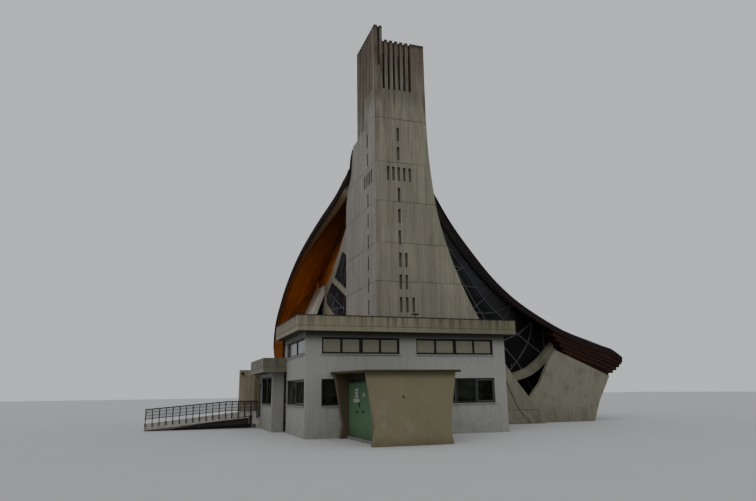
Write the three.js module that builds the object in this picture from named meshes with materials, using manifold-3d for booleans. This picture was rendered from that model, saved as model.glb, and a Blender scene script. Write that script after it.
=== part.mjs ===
// Modern church: a tall concrete bell tower, a low plaster annex in front of it, and a hall
// behind it under one curved timber roof that hangs from the tower to two low tips.
// Millimetres. X runs along the annex front, Y away from it, Z up. The drawing's zero is the
// annex's front left corner at ground level; the finished group is centred at the end.

import * as THREE from 'three';
import { ConvexGeometry } from 'three/addons/geometries/ConvexGeometry.js';
import { mergeVertices } from 'three/addons/utils/BufferGeometryUtils.js';
import Module from 'manifold-3d';

const wasm = await Module();
wasm.setup();

// Clearance left between pieces that touch.
const GAP = 0.3;

// Annex
const ANNEX_W = 8400;
const ANNEX_D = 4400;
const ANNEX_H = 3870;
const WALL = 300;
const EAVE_FRONT = 500;
const EAVE_SIDE = 400;
const PARAPET_TOP = 4430;
const UPPER = [3060, 3680];
const LOWER = [1160, 2130];

// Porch in front of the annex
const PORCH_FRONT = -4070;
const PORCH_SLAB = { front: [2245, 2322], back: [2290, 2380] };
const PORCH_SHEET = 200;
const WAIST = 500;
const DOOR_X = 1520;
const DOOR_Y = [-3150, -310];
const DOOR_H = 2100;

// Low link building beside the tower, and the entrance behind it
const LINK_X = -500;
const LINK_Y = [4400, 8040];
const LINK_VIEW = [4660, 7780, 1120, 2340];
const LINK_H = 2490;
const LINK_TOP = 3100;
const LANDING = 480;
const RAMP_X = -5700;

// Tower
const TOWER_X = [4320, 7120];
const TOWER_Y = 4400;
const TOWER_WALL = 400;
const SHAFT_BACK = 7500;
const TOWER_BACK = 9760;
const TOWER_TOP = 19740;
const STRIP_TOP = 20520;
const BELFRY = 16900;

// Hall, its two glass walls, piers and roof
const HALL_FLOOR = 500;
const SOUTH_Y = 6500;
const WEST_X = 4500;
const EAST_X = 15800;
const NORTH_Y = 17000;
const ARCH_Y = 5900;
const PIER_Y = 4900;
const SHELL = 240;
const COVER = 60;
const GRID = 32;

const group = new THREE.Group();

function toSolid(geometry) {
  const plain = geometry.clone();
  plain.deleteAttribute('normal');
  plain.deleteAttribute('uv');
  const merged = mergeVertices(plain, 0.001);
  const vertProperties = new Float32Array(merged.attributes.position.array);
  const triVerts = new Uint32Array(merged.index.array);
  return new wasm.Manifold(new wasm.Mesh({ numProp: 3, vertProperties, triVerts }));
}

function toGeometry(solid) {
  const mesh = solid.getMesh();
  const positions = new Float32Array(mesh.triVerts.length * 3);
  for (let i = 0; i < mesh.triVerts.length; i += 1) {
    const v = mesh.triVerts[i] * mesh.numProp;
    positions[3 * i] = mesh.vertProperties[v];
    positions[3 * i + 1] = mesh.vertProperties[v + 1];
    positions[3 * i + 2] = mesh.vertProperties[v + 2];
  }
  const geometry = new THREE.BufferGeometry();
  geometry.setAttribute('position', new THREE.BufferAttribute(positions, 3));
  const merged = mergeVertices(geometry, 0.001);
  merged.computeVertexNormals();
  return merged;
}

function piece(name, solid, color) {
  const material = new THREE.MeshStandardMaterial({ color });
  material.name = name;
  const mesh = new THREE.Mesh(toGeometry(solid), material);
  mesh.name = name;
  group.add(mesh);
}

function block(x0, x1, y0, y1, z0, z1) {
  const geometry = new THREE.BoxGeometry(x1 - x0, y1 - y0, z1 - z0);
  geometry.translate((x0 + x1) / 2, (y0 + y1) / 2, (z0 + z1) / 2);
  return toSolid(geometry);
}

// An outline of [a, b] points drawn out from c0 to c1: "xz" stands it up across the front,
// "yz" stands it up along the side, "xy" lays it flat.
function slab(outline, plane, c0, c1) {
  const shape = new THREE.Shape(outline.map(([a, b]) => new THREE.Vector2(a, b)));
  const geometry = new THREE.ExtrudeGeometry(shape, { depth: c1 - c0, bevelEnabled: false });
  const x = new THREE.Vector3(1, 0, 0);
  const y = new THREE.Vector3(0, 1, 0);
  const z = new THREE.Vector3(0, 0, 1);
  const turn = new THREE.Matrix4();
  if (plane === 'xz') turn.makeBasis(x, z, y.clone().negate()).setPosition(0, c1, 0);
  if (plane === 'yz') turn.makeBasis(y, z, x).setPosition(c0, 0, 0);
  if (plane === 'xy') turn.setPosition(0, 0, c0);
  geometry.applyMatrix4(turn);
  return toSolid(geometry);
}

function cut(body, tools) {
  return tools.reduce((rest, tool) => rest.subtract(tool), body);
}

function join(bodies) {
  return bodies.reduce((whole, body) => whole.add(body));
}

// Keeps the main body where a cut leaves slivers beside it.
function mainBody(solid) {
  const bodies = solid.decompose();
  return bodies.reduce((best, body) => (body.volume() > best.volume() ? body : best));
}

// Points along a smooth line through a few given ones.
function smooth(points, count) {
  const vectors = points.map(([a, b]) => new THREE.Vector3(a, b, 0));
  const curve = new THREE.CatmullRomCurve3(vectors, false, 'centripetal');
  return curve.getSpacedPoints(count).map((p) => [p.x, p.y]);
}

// A bar of rectangular section along a line of [x, z] points, in a wall standing across y.
function bar(points, width, y0, y1) {
  const bodies = [];
  for (let i = 0; i + 1 < points.length; i += 1) {
    const [x0, z0] = points[i];
    const [x1, z1] = points[i + 1];
    const length = Math.hypot(x1 - x0, z1 - z0);
    const geometry = new THREE.BoxGeometry(length + width * 0.3, y1 - y0, width);
    geometry.rotateY(-Math.atan2(z1 - z0, x1 - x0));
    geometry.translate((x0 + x1) / 2, (y0 + y1) / 2, (z0 + z1) / 2);
    bodies.push(toSolid(geometry));
  }
  return join(bodies);
}

// A window in a front wall: frame, posts between panes and the pane itself in one body.
function frontWindow(x0, x1, z0, z1, panes) {
  const outer = block(x0 + GAP, x1 - GAP, 60, 140, z0 + GAP, z1 - GAP);
  const width = (x1 - x0) / panes;
  const lights = [];
  for (let i = 0; i < panes; i += 1) {
    const a = x0 + i * width + (i === 0 ? 55 : 28);
    const b = x0 + (i + 1) * width - (i === panes - 1 ? 55 : 28);
    lights.push(block(a, b, 0, 90, z0 + 55, z1 - 55));
    lights.push(block(a, b, 114, 200, z0 + 55, z1 - 55));
  }
  return cut(outer, lights);
}

// The same window in a wall that faces left.
function sideWindow(face, y0, y1, z0, z1, panes) {
  const outer = block(face + 60, face + 140, y0 + GAP, y1 - GAP, z0 + GAP, z1 - GAP);
  const width = (y1 - y0) / panes;
  const lights = [];
  for (let i = 0; i < panes; i += 1) {
    const a = y0 + i * width + (i === 0 ? 55 : 28);
    const b = y0 + (i + 1) * width - (i === panes - 1 ? 55 : 28);
    lights.push(block(face, face + 90, a, b, z0 + 55, z1 - 55));
    lights.push(block(face + 114, face + 200, a, b, z0 + 55, z1 - 55));
  }
  return cut(outer, lights);
}

// Openings of the annex: left edge, right edge, sill, head, panes.
const frontOpenings = {
  front_upper_left_window: [620, 3740, ...UPPER, 4],
  front_upper_right_window: [4450, 7860, ...UPPER, 4],
  front_lower_left_window: [620, 1440, ...LOWER, 1],
  front_lower_right_window: [4450, 7860, ...LOWER, 4],
};
const westOpenings = {
  west_upper_window: [180, 3800, ...UPPER, 2],
  west_lower_window: [180, 3800, ...LOWER, 2],
};

function annex() {
  const holes = Object.values(frontOpenings).map(([a, b, c, d]) => block(a, b, -50, 400, c, d));
  const doorway = block(2900, 3700, -50, 400, 100, 2050);
  const front = block(WALL + GAP, ANNEX_W, 0, WALL, 0, ANNEX_H);
  piece('annex_front_wall', cut(front, [...holes, doorway]), 0xb9b9b2);
  const side = block(0, WALL, 0, ANNEX_D - WALL - GAP, 0, ANNEX_H);
  const sideHoles = Object.values(westOpenings).map(([a, b, c, d]) => block(-50, 400, a, b, c, d));
  piece('annex_west_wall', cut(side, sideHoles), 0xb9b9b2);
  const east = block(ANNEX_W - WALL, ANNEX_W, WALL + GAP, ANNEX_D - WALL - GAP, 0, ANNEX_H);
  piece('annex_east_wall', east, 0xb9b9b2);
  const back = block(0, ANNEX_W, ANNEX_D - WALL, ANNEX_D - GAP, 0, ANNEX_H);
  piece('annex_back_wall', back, 0xb9b9b2);
  const inside = [WALL + GAP, ANNEX_W - WALL - GAP, WALL + GAP, ANNEX_D - WALL - GAP];
  piece('annex_floor', block(...inside, 0, 100), 0x8d8a84);
  for (const [name, [a, b, c, d, n]] of Object.entries(frontOpenings)) {
    piece(name, frontWindow(a, b, c, d, n), 0x2b2f31);
  }
  for (const [name, [a, b, c, d, n]] of Object.entries(westOpenings)) {
    piece(name, sideWindow(0, a, b, c, d, n), 0x2b2f31);
  }
}

function annexRoof() {
  const x0 = -EAVE_SIDE;
  const x1 = ANNEX_W + 280;
  const y0 = -EAVE_FRONT;
  const y1 = ANNEX_D - GAP;
  const z0 = ANNEX_H + GAP;
  const body = block(x0, x1, y0, y1, z0, PARAPET_TOP);
  const tray = block(x0 + 200, x1 - 200, y0 + 200, y1 - 200, z0 + 190, PARAPET_TOP + 100);
  const groove = block(x0 - 50, x1 + 50, y0 - 50, y1 + 50, 4045, 4065);
  const core = block(x0 + 15, x1 - 15, y0 + 15, y1 + 60, 4040, 4070);
  piece('annex_roof', cut(body, [tray, cut(groove, [core])]), 0xa19a8c);
  const cap = block(x0 - 15, x1 + 15, y0 - 15, y1, PARAPET_TOP + GAP, PARAPET_TOP + 30);
  const well = block(x0 + 215, x1 - 215, y0 + 215, y1 - 215, 4400, 4500);
  piece('annex_coping', cut(cap, [well]), 0x4a443b);
}

// The porch walls lean in to a waist and out again below it; the slab over them falls forward.
const porchOutline = [
  [1270, 0],
  [3990, 0],
  [3890, WAIST],
  [4150, 2400],
  [1050, 2400],
  [1370, WAIST],
];

function porch() {
  const back = PORCH_FRONT - 150;
  const [low, high] = [0, 1].map((i) => [[back, PORCH_SLAB.front[i]], [-GAP, PORCH_SLAB.back[i]]]);
  const roof = slab([...low, ...high.slice().reverse()], 'yz', 960, 4250);
  const above = slab([
    [back, low[0][1] - GAP],
    [0, low[1][1] - GAP],
    [0, 3000],
    [back, 3000],
  ], 'yz', 0, 6000);
  const front = slab(porchOutline, 'xz', PORCH_FRONT, PORCH_FRONT + PORCH_SHEET);
  const fin = slab(porchOutline, 'xz', -300, -GAP);
  const side = [[3740, 0], [3990, 0], [3890, WAIST], [4150, 2400], [3900, 2400], [3640, WAIST]];
  const right = slab(side, 'xz', PORCH_FRONT + 100, -100);
  const near = PORCH_FRONT + PORCH_SHEET - 50;
  const jamb = block(DOOR_X, DOOR_X + 250, near, DOOR_Y[0], 0, 2400);
  const rear = block(DOOR_X, DOOR_X + 250, DOOR_Y[1], -200, 0, 2400);
  const head = block(DOOR_X, DOOR_X + 250, DOOR_Y[0] - 50, -200, DOOR_H, 2400);
  const passage = block(2900, 3700, -400, 100, 100, 2050);
  piece('porch_walls', cut(join([front, fin, right, jamb, rear, head]), [passage, above]), 0x9a8a70);
  piece('porch_roof', roof, 0x6a5a45);
  const inside = [DOOR_X + 250 + GAP, 3640 - GAP, PORCH_FRONT + PORCH_SHEET + GAP, -300 - GAP];
  const sill = block(DOOR_X, DOOR_X + 300, DOOR_Y[0] + GAP, DOOR_Y[1] - GAP, 0, 100);
  piece('porch_floor', join([block(...inside, 0, 100), sill]), 0x8d8a84);
  const middle = (DOOR_Y[0] + DOOR_Y[1]) / 2;
  piece('porch_door_front_leaf', doorLeaf(DOOR_Y[0] + 10, middle - 4, DOOR_Y[0] + 22), 0x2d5038);
  piece('porch_door_rear_leaf', doorLeaf(middle + 4, DOOR_Y[1] - 10, DOOR_Y[1] - 22), 0x2d5038);
}

// A door leaf that turns on a pin standing on the sill and reaching the head above.
function doorLeaf(y0, y1, pinY) {
  const leaf = block(DOOR_X + 60, DOOR_X + 110, y0, y1, 108, DOOR_H - 8);
  const pin = new THREE.CylinderGeometry(10, 10, DOOR_H - 100 - 2 * GAP, 12);
  pin.rotateX(Math.PI / 2);
  pin.translate(DOOR_X + 98, pinY, (DOOR_H + 100) / 2);
  return join([leaf, toSolid(pin)]);
}

function link() {
  const x1 = TOWER_X[0] - GAP;
  const outer = block(LINK_X, x1, ...LINK_Y, 0, LINK_H);
  const room = block(LINK_X + 250, x1 + 100, LINK_Y[0] + 250, LINK_Y[1] - 250, 100, LINK_H + 100);
  const view = block(LINK_X - 50, LINK_X + 400, ...LINK_VIEW);
  piece('link_walls', cut(outer, [room, view]), 0xb5b4ad);
  piece('link_window', sideWindow(LINK_X, ...LINK_VIEW, 2), 0x2b2f31);
  const plan = [
    [-1000, 3850],
    [-EAVE_SIDE, 3850],
    [-GAP, 3850],
    [-GAP, 4400],
    [x1, 4400],
    [x1, 8100],
    [-1000, 8100],
  ];
  const body = slab(plan, 'xy', LINK_H + GAP, LINK_TOP);
  const tray = block(-820, x1 - 180, 4600, 7920, LINK_H + 180, LINK_TOP + 100);
  const ring = slab([[-1100, 3700], [500, 3700], [500, 8300], [-1100, 8300]], 'xy', 2700, 2720);
  const core = slab([[-985, 3865], [600, 3865], [600, 8085], [-985, 8085]], 'xy', 2690, 2730);
  piece('link_roof', cut(body, [tray, cut(ring, [core])]), 0xa19a8c);
}

function entrance() {
  const back = 11780;
  const inner = block(LINK_X, TOWER_X[0] - GAP, LINK_Y[1] + GAP, back, 0, LANDING);
  const outer = block(-1000, 0, 8400, back, 0, LANDING);
  const shelf = block(-1000, LINK_X + 10, 8050, 8410, 200, LANDING);
  const edge = block(-1000, -640, 8050, 8220, 300, 820);
  const stub = block(-660, LINK_X, 8050, 8410, 0, 640);
  piece('landing', join([inner, outer, shelf, edge, stub]), 0xb9b2a6);
  const x1 = -1000 - GAP;
  const run = slab([[RAMP_X, 0], [x1, 0], [x1, LANDING], [RAMP_X, 60]], 'xz', 8400, 9700);
  const deck = slab([[RAMP_X, 0], [x1, 200], [x1, LANDING], [RAMP_X, 60]], 'xz', 8200, 8410);
  const kerb = slab([[RAMP_X, 30], [x1, 530], [x1, 810], [RAMP_X, 320]], 'xz', 8050, 8220);
  piece('ramp', join([run, deck, kerb]), 0xb9b2a6);
  const bend = -2000;
  const end = -620;
  const rail = (x) => 1280 + Math.min(x - bend, 0) * 0.082;
  const line = (low, high, y0, y1) => slab([
    [RAMP_X, rail(RAMP_X) + low],
    [bend, rail(bend) + low],
    [end, rail(end) + low],
    [end, rail(end) + high],
    [bend, rail(bend) + high],
    [RAMP_X, rail(RAMP_X) + high],
  ], 'xz', y0, y1);
  const bars = [line(-45, 0, 7980, 8030), line(-460, -430, 7990, 8020)];
  for (let i = 0; i <= 17; i += 1) {
    const x = RAMP_X + 20 + i * 295;
    bars.push(block(x, x + 40, 7985, 8025, rail(x) - 800, rail(x) - 10));
    bars.push(block(x, x + 40, 8000, 8050 - GAP, rail(x) - 735, rail(x) - 695));
  }
  piece('ramp_railing', join(bars), 0x23211f);
  piece('entrance_wall', block(-1120, 4200, back + GAP, 12100, 0, 2860), 0x9c9080);
}

// Slits in two columns and a row of five, shared by the tower's front and left faces.
const SLIT_HEADS = [14780, 13730, 11540, 10440, 9340, 8220, 7130, 6030];

// The tower's front wall: a plate whose right edge sweeps out into a long flared foot.
function towerSouth() {
  const flare = smooth([
    [7110, 19740], [7125, 16600], [7180, 14300], [7330, 12400], [7640, 10270],
    [8100, 8630], [9090, 6180], [11020, 2880], [11500, 2210], [12280, 1230], [13200, 0],
  ], 40);
  const outline = [
    [TOWER_X[0], 0],
    [13200, 0],
    ...flare.slice(0, -1).reverse(),
    [4760, TOWER_TOP],
    [4760, STRIP_TOP],
    [TOWER_X[0], STRIP_TOP],
  ];
  const plate = slab(outline, 'xz', TOWER_Y, TOWER_Y + TOWER_WALL);
  const near = TOWER_Y - 50;
  const cuts = SLIT_HEADS.map((z) => block(5480, 5620, near, TOWER_Y + 180, z - 720, z));
  for (const x of [4980, 5270, 5560, 5850, 6150]) {
    cuts.push(block(x - 70, x + 70, near, TOWER_Y + 180, 11920, 12640));
  }
  for (const z of [8220, 7130, 6030]) {
    cuts.push(block(5790, 5930, near, TOWER_Y + 180, z - 720, z));
  }
  cuts.push(block(6120, 6260, near, TOWER_Y + 180, 5310, 6030));
  for (let i = 0; i < 6; i += 1) {
    const x = 4830 + i * 288;
    cuts.push(block(x - 62, x + 62, near, TOWER_Y + 190, BELFRY, 19900));
    cuts.push(block(x - 62, x + 62, TOWER_Y + 100, TOWER_Y + 500, BELFRY + 60, 19010));
  }
  cuts.push(block(4500, 4610, near, TOWER_Y + 120, 18200, 20700));
  const panel = [[8600, -50], [8600, 2700], [10560, 2700], [11040, 2010], [11330, 1340],
    [11670, 670], [12140, 180], [12380, -50]];
  cuts.push(slab(panel, 'xz', near, TOWER_Y + 50));
  piece('tower_south_wall', cut(plate, cuts), 0xa39c8c);
}

// The tower's side: upright at the top, a ledge, then a curve out to the foot.
function sideOutline(inset) {
  const y = SHAFT_BACK - inset;
  const curve = smooth([[8300, 15190], [8780, 14030], [9360, 12960], [TOWER_BACK, 12000]], 8);
  const back = curve.map(([a, b]) => [a - inset, b - inset * 0.4]);
  return [
    [TOWER_Y + TOWER_WALL + GAP, 0],
    [TOWER_BACK - inset, 0],
    ...back.reverse(),
    [y, 15190 - inset * 0.4],
    [y, STRIP_TOP],
    [TOWER_Y + TOWER_WALL + GAP, STRIP_TOP],
  ];
}

function towerSides() {
  const west = slab(sideOutline(0), 'yz', TOWER_X[0], TOWER_X[0] + TOWER_WALL);
  const near = TOWER_X[0] - 50;
  const cuts = SLIT_HEADS.map((z) => block(near, TOWER_X[0] + 180, 5610, 5750, z - 720, z));
  for (const y of [5050, 5350, 5650, 5950, 6250]) {
    cuts.push(block(near, TOWER_X[0] + 180, y - 70, y + 70, 11920, 12640));
  }
  for (let i = 0; i < 10; i += 1) {
    const y = 4870 + i * 270;
    const foot = y < 6150 ? 16900 : 15250;
    const deep = TOWER_X[0] + 110;
    const run = [[near, foot + 500], [TOWER_X[0], foot], [deep, foot + 500], [deep, 20600],
      [near, 20600]];
    cuts.push(slab(run, 'xz', y, y + 110));
  }
  piece('tower_west_wall', cut(west, cuts), 0xa8a49a);
  const x0 = TOWER_X[0] + TOWER_WALL + GAP;
  const x1 = TOWER_X[1] - TOWER_WALL - GAP;
  const lid = block(3000, 9000, 4000, 9000, TOWER_TOP, 21000);
  const east = slab(sideOutline(0), 'yz', TOWER_X[1] - TOWER_WALL, TOWER_X[1] - GAP);
  piece('tower_east_wall', cut(east, [lid]), 0xa39c8c);
  const hollow = slab(sideOutline(350), 'yz', x0 - 100, x1 + 100);
  const step = block(x0 - 100, x1 + 100, 4000, SHAFT_BACK - 350, 0, 21000);
  const north = cut(slab(sideOutline(0), 'yz', x0, x1), [hollow, step, lid]);
  piece('tower_north_wall', north, 0xa39c8c);
  const inside = [x0, x1, TOWER_Y + TOWER_WALL + GAP, SHAFT_BACK - 350 - GAP];
  piece('belfry_floor', block(...inside, 16500, 16700), 0x8f897d);
  piece('belfry_roof', block(...inside, 19300, 19500), 0x8f897d);
}

// The roof's four edges, each a smooth line; the surface is blended between them.
const APEX = [5600, 6800, 16300];
const NW_TIP = [1620, 17350, 3900];
const SE_TIP = [18270, 4600, 3220];
const NE_CORNER = [16600, 18300, 4600];
const edges = {
  south: [APEX, [7200, 6350, 14200], [8270, 6200, 12000], [9140, 6060, 10380],
    [10200, 5880, 8810], [11340, 5700, 7350], [12420, 5520, 6300], [13670, 5320, 5410],
    [15250, 5070, 4520], [16860, 4820, 3890], [17690, 4700, 3640], SE_TIP],
  west: [APEX, [4800, 7900, 15700], [4300, 8480, 14980], [4200, 8800, 13850],
    [4050, 9440, 13360], [3850, 10070, 12820], [3600, 10730, 12320], [3150, 11860, 11490],
    [2450, 13680, 9930], [1980, 15010, 8370], [1750, 16070, 7110], [1620, 17050, 5920],
    [1570, 17330, 4650], NW_TIP],
  north: [NW_TIP, [2600, 17500, 5750], [3600, 17750, 7000], [4600, 18000, 8400],
    [6200, 18500, 10000], [9600, 19100, 10200], [13500, 19000, 8000], NE_CORNER],
  east: [SE_TIP, [18100, 8500, 4500], [18000, 12000, 5400], [17500, 15500, 5600], NE_CORNER],
};

const curves = {};
for (const [side, points] of Object.entries(edges)) {
  const vectors = points.map(([x, y, z]) => new THREE.Vector3(x, y, z));
  curves[side] = new THREE.CatmullRomCurve3(vectors, false, 'centripetal');
}

function roofPoint(u, v) {
  const s = curves.south.getPointAt(u);
  const n = curves.north.getPointAt(u);
  const w = curves.west.getPointAt(v);
  const e = curves.east.getPointAt(v);
  const blend = (k, i) => {
    const lines = (1 - v) * s[k] + v * n[k] + (1 - u) * w[k] + u * e[k];
    const near = (1 - u) * APEX[i] + u * SE_TIP[i];
    const far = (1 - u) * NW_TIP[i] + u * NE_CORNER[i];
    return lines - (1 - v) * near - v * far;
  };
  return new THREE.Vector3(blend('x', 0), blend('y', 1), blend('z', 2));
}

// A layer of the roof between two heights above its reference surface.
function roofLayer(low, high) {
  const rows = GRID + 1;
  const positions = [];
  for (const lift of [high, low]) {
    for (let i = 0; i < rows; i += 1) {
      for (let j = 0; j < rows; j += 1) {
        const p = roofPoint(i / GRID, j / GRID);
        positions.push(p.x, p.y, Math.max(p.z + lift, -1000));
      }
    }
  }
  const index = [];
  const at = (layer, i, j) => layer * rows * rows + i * rows + j;
  const quad = (a, b, c, d) => index.push(a, b, c, a, c, d);
  for (let i = 0; i < GRID; i += 1) {
    for (let j = 0; j < GRID; j += 1) {
      quad(at(0, i, j), at(0, i + 1, j), at(0, i + 1, j + 1), at(0, i, j + 1));
      quad(at(1, i, j), at(1, i, j + 1), at(1, i + 1, j + 1), at(1, i + 1, j));
    }
    quad(at(1, i, 0), at(1, i + 1, 0), at(0, i + 1, 0), at(0, i, 0));
    quad(at(0, i, GRID), at(0, i + 1, GRID), at(1, i + 1, GRID), at(1, i, GRID));
    quad(at(0, 0, i), at(0, 0, i + 1), at(1, 0, i + 1), at(1, 0, i));
    quad(at(1, GRID, i), at(1, GRID, i + 1), at(0, GRID, i + 1), at(0, GRID, i));
  }
  const geometry = new THREE.BufferGeometry();
  geometry.setAttribute('position', new THREE.Float32BufferAttribute(positions, 3));
  geometry.setIndex(index);
  return toSolid(geometry);
}

// Everything below the roof's boards, which walls and piers are trimmed to.
const under = roofLayer(-30000, -SHELL - GAP);

// The roof is cut around the tower's block, a hair larger than the tower.
function roof() {
  const outline = sideOutline(0).map(([y, z]) => [y + GAP, z]);
  outline[0][0] = TOWER_Y - 500;
  outline[outline.length - 1][0] = TOWER_Y - 500;
  const tower = slab(outline, 'yz', TOWER_X[0] - GAP, TOWER_X[1] + GAP);
  piece('roof_shell', mainBody(cut(roofLayer(-SHELL, 0), [tower])), 0x8a5a2c);
  piece('roof_covering', mainBody(cut(roofLayer(GAP, COVER), [tower])), 0x3a3836);
}

// Boarded nose that curls down from the low south-east tip to the pier, each board set back.
const NOSE_FALL = 0.41;

function tipBoards() {
  const steps = [
    [18240, 3330, 2880],
    [18150, 2930, 2740],
    [18010, 2770, 2590],
    [17830, 2620, 2450],
    [17600, 2480, 2300],
  ];
  const bodies = steps.map(([x, high, low], i) => {
    const x0 = 14500 + i * 200;
    const left = low + (x - x0) * NOSE_FALL;
    const upper = i === 0 ? left + 700 : left + 260;
    const outline = [[x0, left], [x, low], [x, high], [x0, upper]];
    const back = i * 50;
    const plan = slab([
      [14000, 5330 + back],
      [16860, 4860 + back],
      [18300, 4640 + back],
      [18300, ARCH_Y - GAP],
      [14000, ARCH_Y - GAP],
    ], 'xy', 0, 9000);
    return slab(outline, 'xz', 4000, 7000).intersect(plan);
  });
  return join(bodies).intersect(under);
}

function hall() {
  const floor = block(TOWER_X[0], EAST_X - GAP, SOUTH_Y - 100, NORTH_Y - GAP, 0, HALL_FLOOR);
  const tower = block(4000, TOWER_X[1] + GAP, 4000, TOWER_BACK + GAP, -100, 700);
  piece('hall_floor', cut(floor, [tower]), 0x8d8a84);
  const east = block(EAST_X, EAST_X + 300, SOUTH_Y - 100, NORTH_Y + 300, 0, 12000);
  piece('hall_east_wall', mainBody(east.intersect(under)), 0xa09a8d);
  const north = block(WEST_X + 20, EAST_X - GAP, NORTH_Y, NORTH_Y + 300, 0, 12000);
  piece('hall_north_wall', mainBody(north.intersect(under)), 0xa09a8d);
}

// Lattice bars of the south glass wall, as [x, z] lines.
const latticeBars = [
  [[7300, 11900], [8300, 10350], [9190, 9110], [9980, 8100], [10660, 7140], [11160, 6450],
    [12320, 5340], [12840, 4810], [13730, 4120], [14630, 3470], [15700, 2500]],
  [[7300, 11400], [8700, 9300], [9610, 7860], [10110, 7010], [10940, 5680], [12280, 3830],
    [12910, 3140], [13240, 2660], [13900, 1500]],
  [[7300, 8600], [8700, 6500], [10100, 4500], [11500, 2600], [12800, 700]],
  [[7300, 8100], [8300, 9050], [8920, 9760], [9160, 9920]],
  [[9070, 9100], [9370, 9070], [9730, 9090]],
  [[7300, 5900], [8600, 6750], [9610, 7920], [9980, 8100], [10360, 8460]],
  [[7300, 9250], [8400, 8500], [9510, 8190], [9980, 8100], [10650, 8140]],
  [[8200, 7700], [9100, 7280], [10050, 7120], [10650, 7090], [11080, 7190], [11460, 7340]],
  [[7300, 2600], [9000, 4300], [10530, 5940], [11160, 6450], [11810, 7030]],
  [[7300, 7400], [8900, 6150], [10580, 5720], [11480, 5700], [12110, 5880], [12820, 6180]],
  [[12820, 6180], [12600, 5780], [12390, 5400]],
  [[8300, 3300], [10300, 3500], [12310, 4260], [13210, 4650], [14080, 5270]],
  [[14080, 5270], [13970, 4720], [13660, 4010], [13170, 3360], [12570, 2720], [11300, 1700],
    [9900, 700]],
  [[14750, 4900], [14770, 3580], [14800, 800]],
];

function southSide() {
  const front = [TOWER_X[1] + GAP, EAST_X - GAP, SOUTH_Y, SOUTH_Y + 60 - GAP];
  const field = block(...front, HALL_FLOOR + GAP, 16000).intersect(under);
  const inner = block(front[0] + 110, front[1] - 110, 6000, 7000, HALL_FLOOR + 110, 16000);
  const rim = cut(field, [inner.intersect(under.translate([0, 0, -90]))]);
  const bars = latticeBars.map((line) => bar(smooth(line, line.length * 2), 100, front[2], front[3]));
  piece('south_lattice', mainBody(join([rim, ...bars]).intersect(field)), 0x8d9092);
  const sheet = block(front[0], front[1], SOUTH_Y + 60, SOUTH_Y + 90, HALL_FLOOR + GAP, 16000);
  piece('south_glass', mainBody(sheet.intersect(under)), 0x15181a);
}

function southPier() {
  piece('tip_boards', mainBody(tipBoards()), 0x8a5a2c);
  const arch = slab([
    [11200, 1750], [12490, 2090], [12930, 2200], [13370, 2350], [13840, 2610], [14220, 2910],
    [14650, 3250], [15300, 3750], [15300, 4450], [14950, 4050], [14600, 3710], [14260, 3360],
    [13870, 3060], [13410, 2790], [12870, 2590], [12350, 2460], [11200, 2180],
  ], 'xz', ARCH_Y, SOUTH_Y - GAP);
  const arm = block(10700, 11300, TOWER_Y + TOWER_WALL + GAP, SOUTH_Y - GAP, 1750, 2250);
  piece('south_arch', mainBody(join([arch, arm]).intersect(under)), 0xb9b2a2);
  const top = (x) => 2300 + (17600 - x) * NOSE_FALL - GAP;
  const pier = slab([
    [12050, 0], [16420, 0], [16850, 1050], [17320, 1820], [17600, top(17600)],
    [14380, top(14380)], [13960, 3190], [13600, 2570], [13300, 2000], [12970, 1650],
    [12650, 1300], [12250, 400],
  ], 'xz', PIER_Y, ARCH_Y - GAP);
  const plan = slab([
    [11000, PIER_Y],
    [18000, PIER_Y],
    [18000, ARCH_Y],
    [16300, ARCH_Y],
    [14300, PIER_Y + 240],
    [11000, PIER_Y + 240],
  ], 'xy', -10, 6000);
  piece('south_pier', pier.intersect(plan), 0xb9b2a2);
}

// The west glass is held between the outer and inner ribs of a concrete truss; boards close
// what is above it.
function westSide() {
  const y0 = TOWER_BACK + GAP;
  const y1 = NORTH_Y - GAP;
  const low = HALL_FLOOR + GAP;
  const chord = [[y0, 11250], [10550, 10880], [11260, 10440], [11890, 9970], [12730, 9530],
    [13480, 9050], [14510, 8590], [15200, 8390], [y1, 8560]];
  const field = [[y0, low], [y1, low], ...chord.slice().reverse()];
  const lights = [
    [[9000, 8680], [11250, 9740], [13100, 8480], [9000, 6680]],
    [[9000, 6330], [13660, 8320], [15200, 7660], [15150, 7200], [9000, 4030]],
    [[9000, 3300], [15200, 6500], [15200, 900], [9000, 900]],
    [[16320, 900], [16320, 7350], [18000, 8150], [18000, 900]],
  ].map((pane) => slab(pane, 'yz', WEST_X - 50, WEST_X + 400));
  const ribs = (x0, x1) => mainBody(cut(slab(field, 'yz', x0, x1), lights).intersect(under));
  piece('west_frame', ribs(WEST_X, WEST_X + 60), 0xb9b2a2);
  piece('west_inner_frame', ribs(WEST_X + 90 + GAP, WEST_X + 240), 0xb9b2a2);
  const above = chord.map(([y, z]) => [y, z + GAP]);
  const boards = slab([...above, [y1, 16000], [y0, 16000]], 'yz', WEST_X + 20, WEST_X + 60);
  piece('west_boards', mainBody(boards.intersect(under)), 0x8a5a2c);
  const sheet = block(WEST_X + 60 + GAP, WEST_X + 90, y0, y1, low, 16000);
  piece('west_glass', mainBody(sheet.intersect(under)), 0x15181a);
}

// Boards that close the end of the roof below its north-west tip.
function westTip() {
  const outline = [[1620, 3600], [TOWER_X[0] - GAP, 3600], [TOWER_X[0] - GAP, 12000], [1620, 12000]];
  const boards = slab(outline, 'xz', 17260, 17320);
  piece('west_tip_boards', mainBody(boards.intersect(under)), 0x8a5a2c);
}

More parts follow.
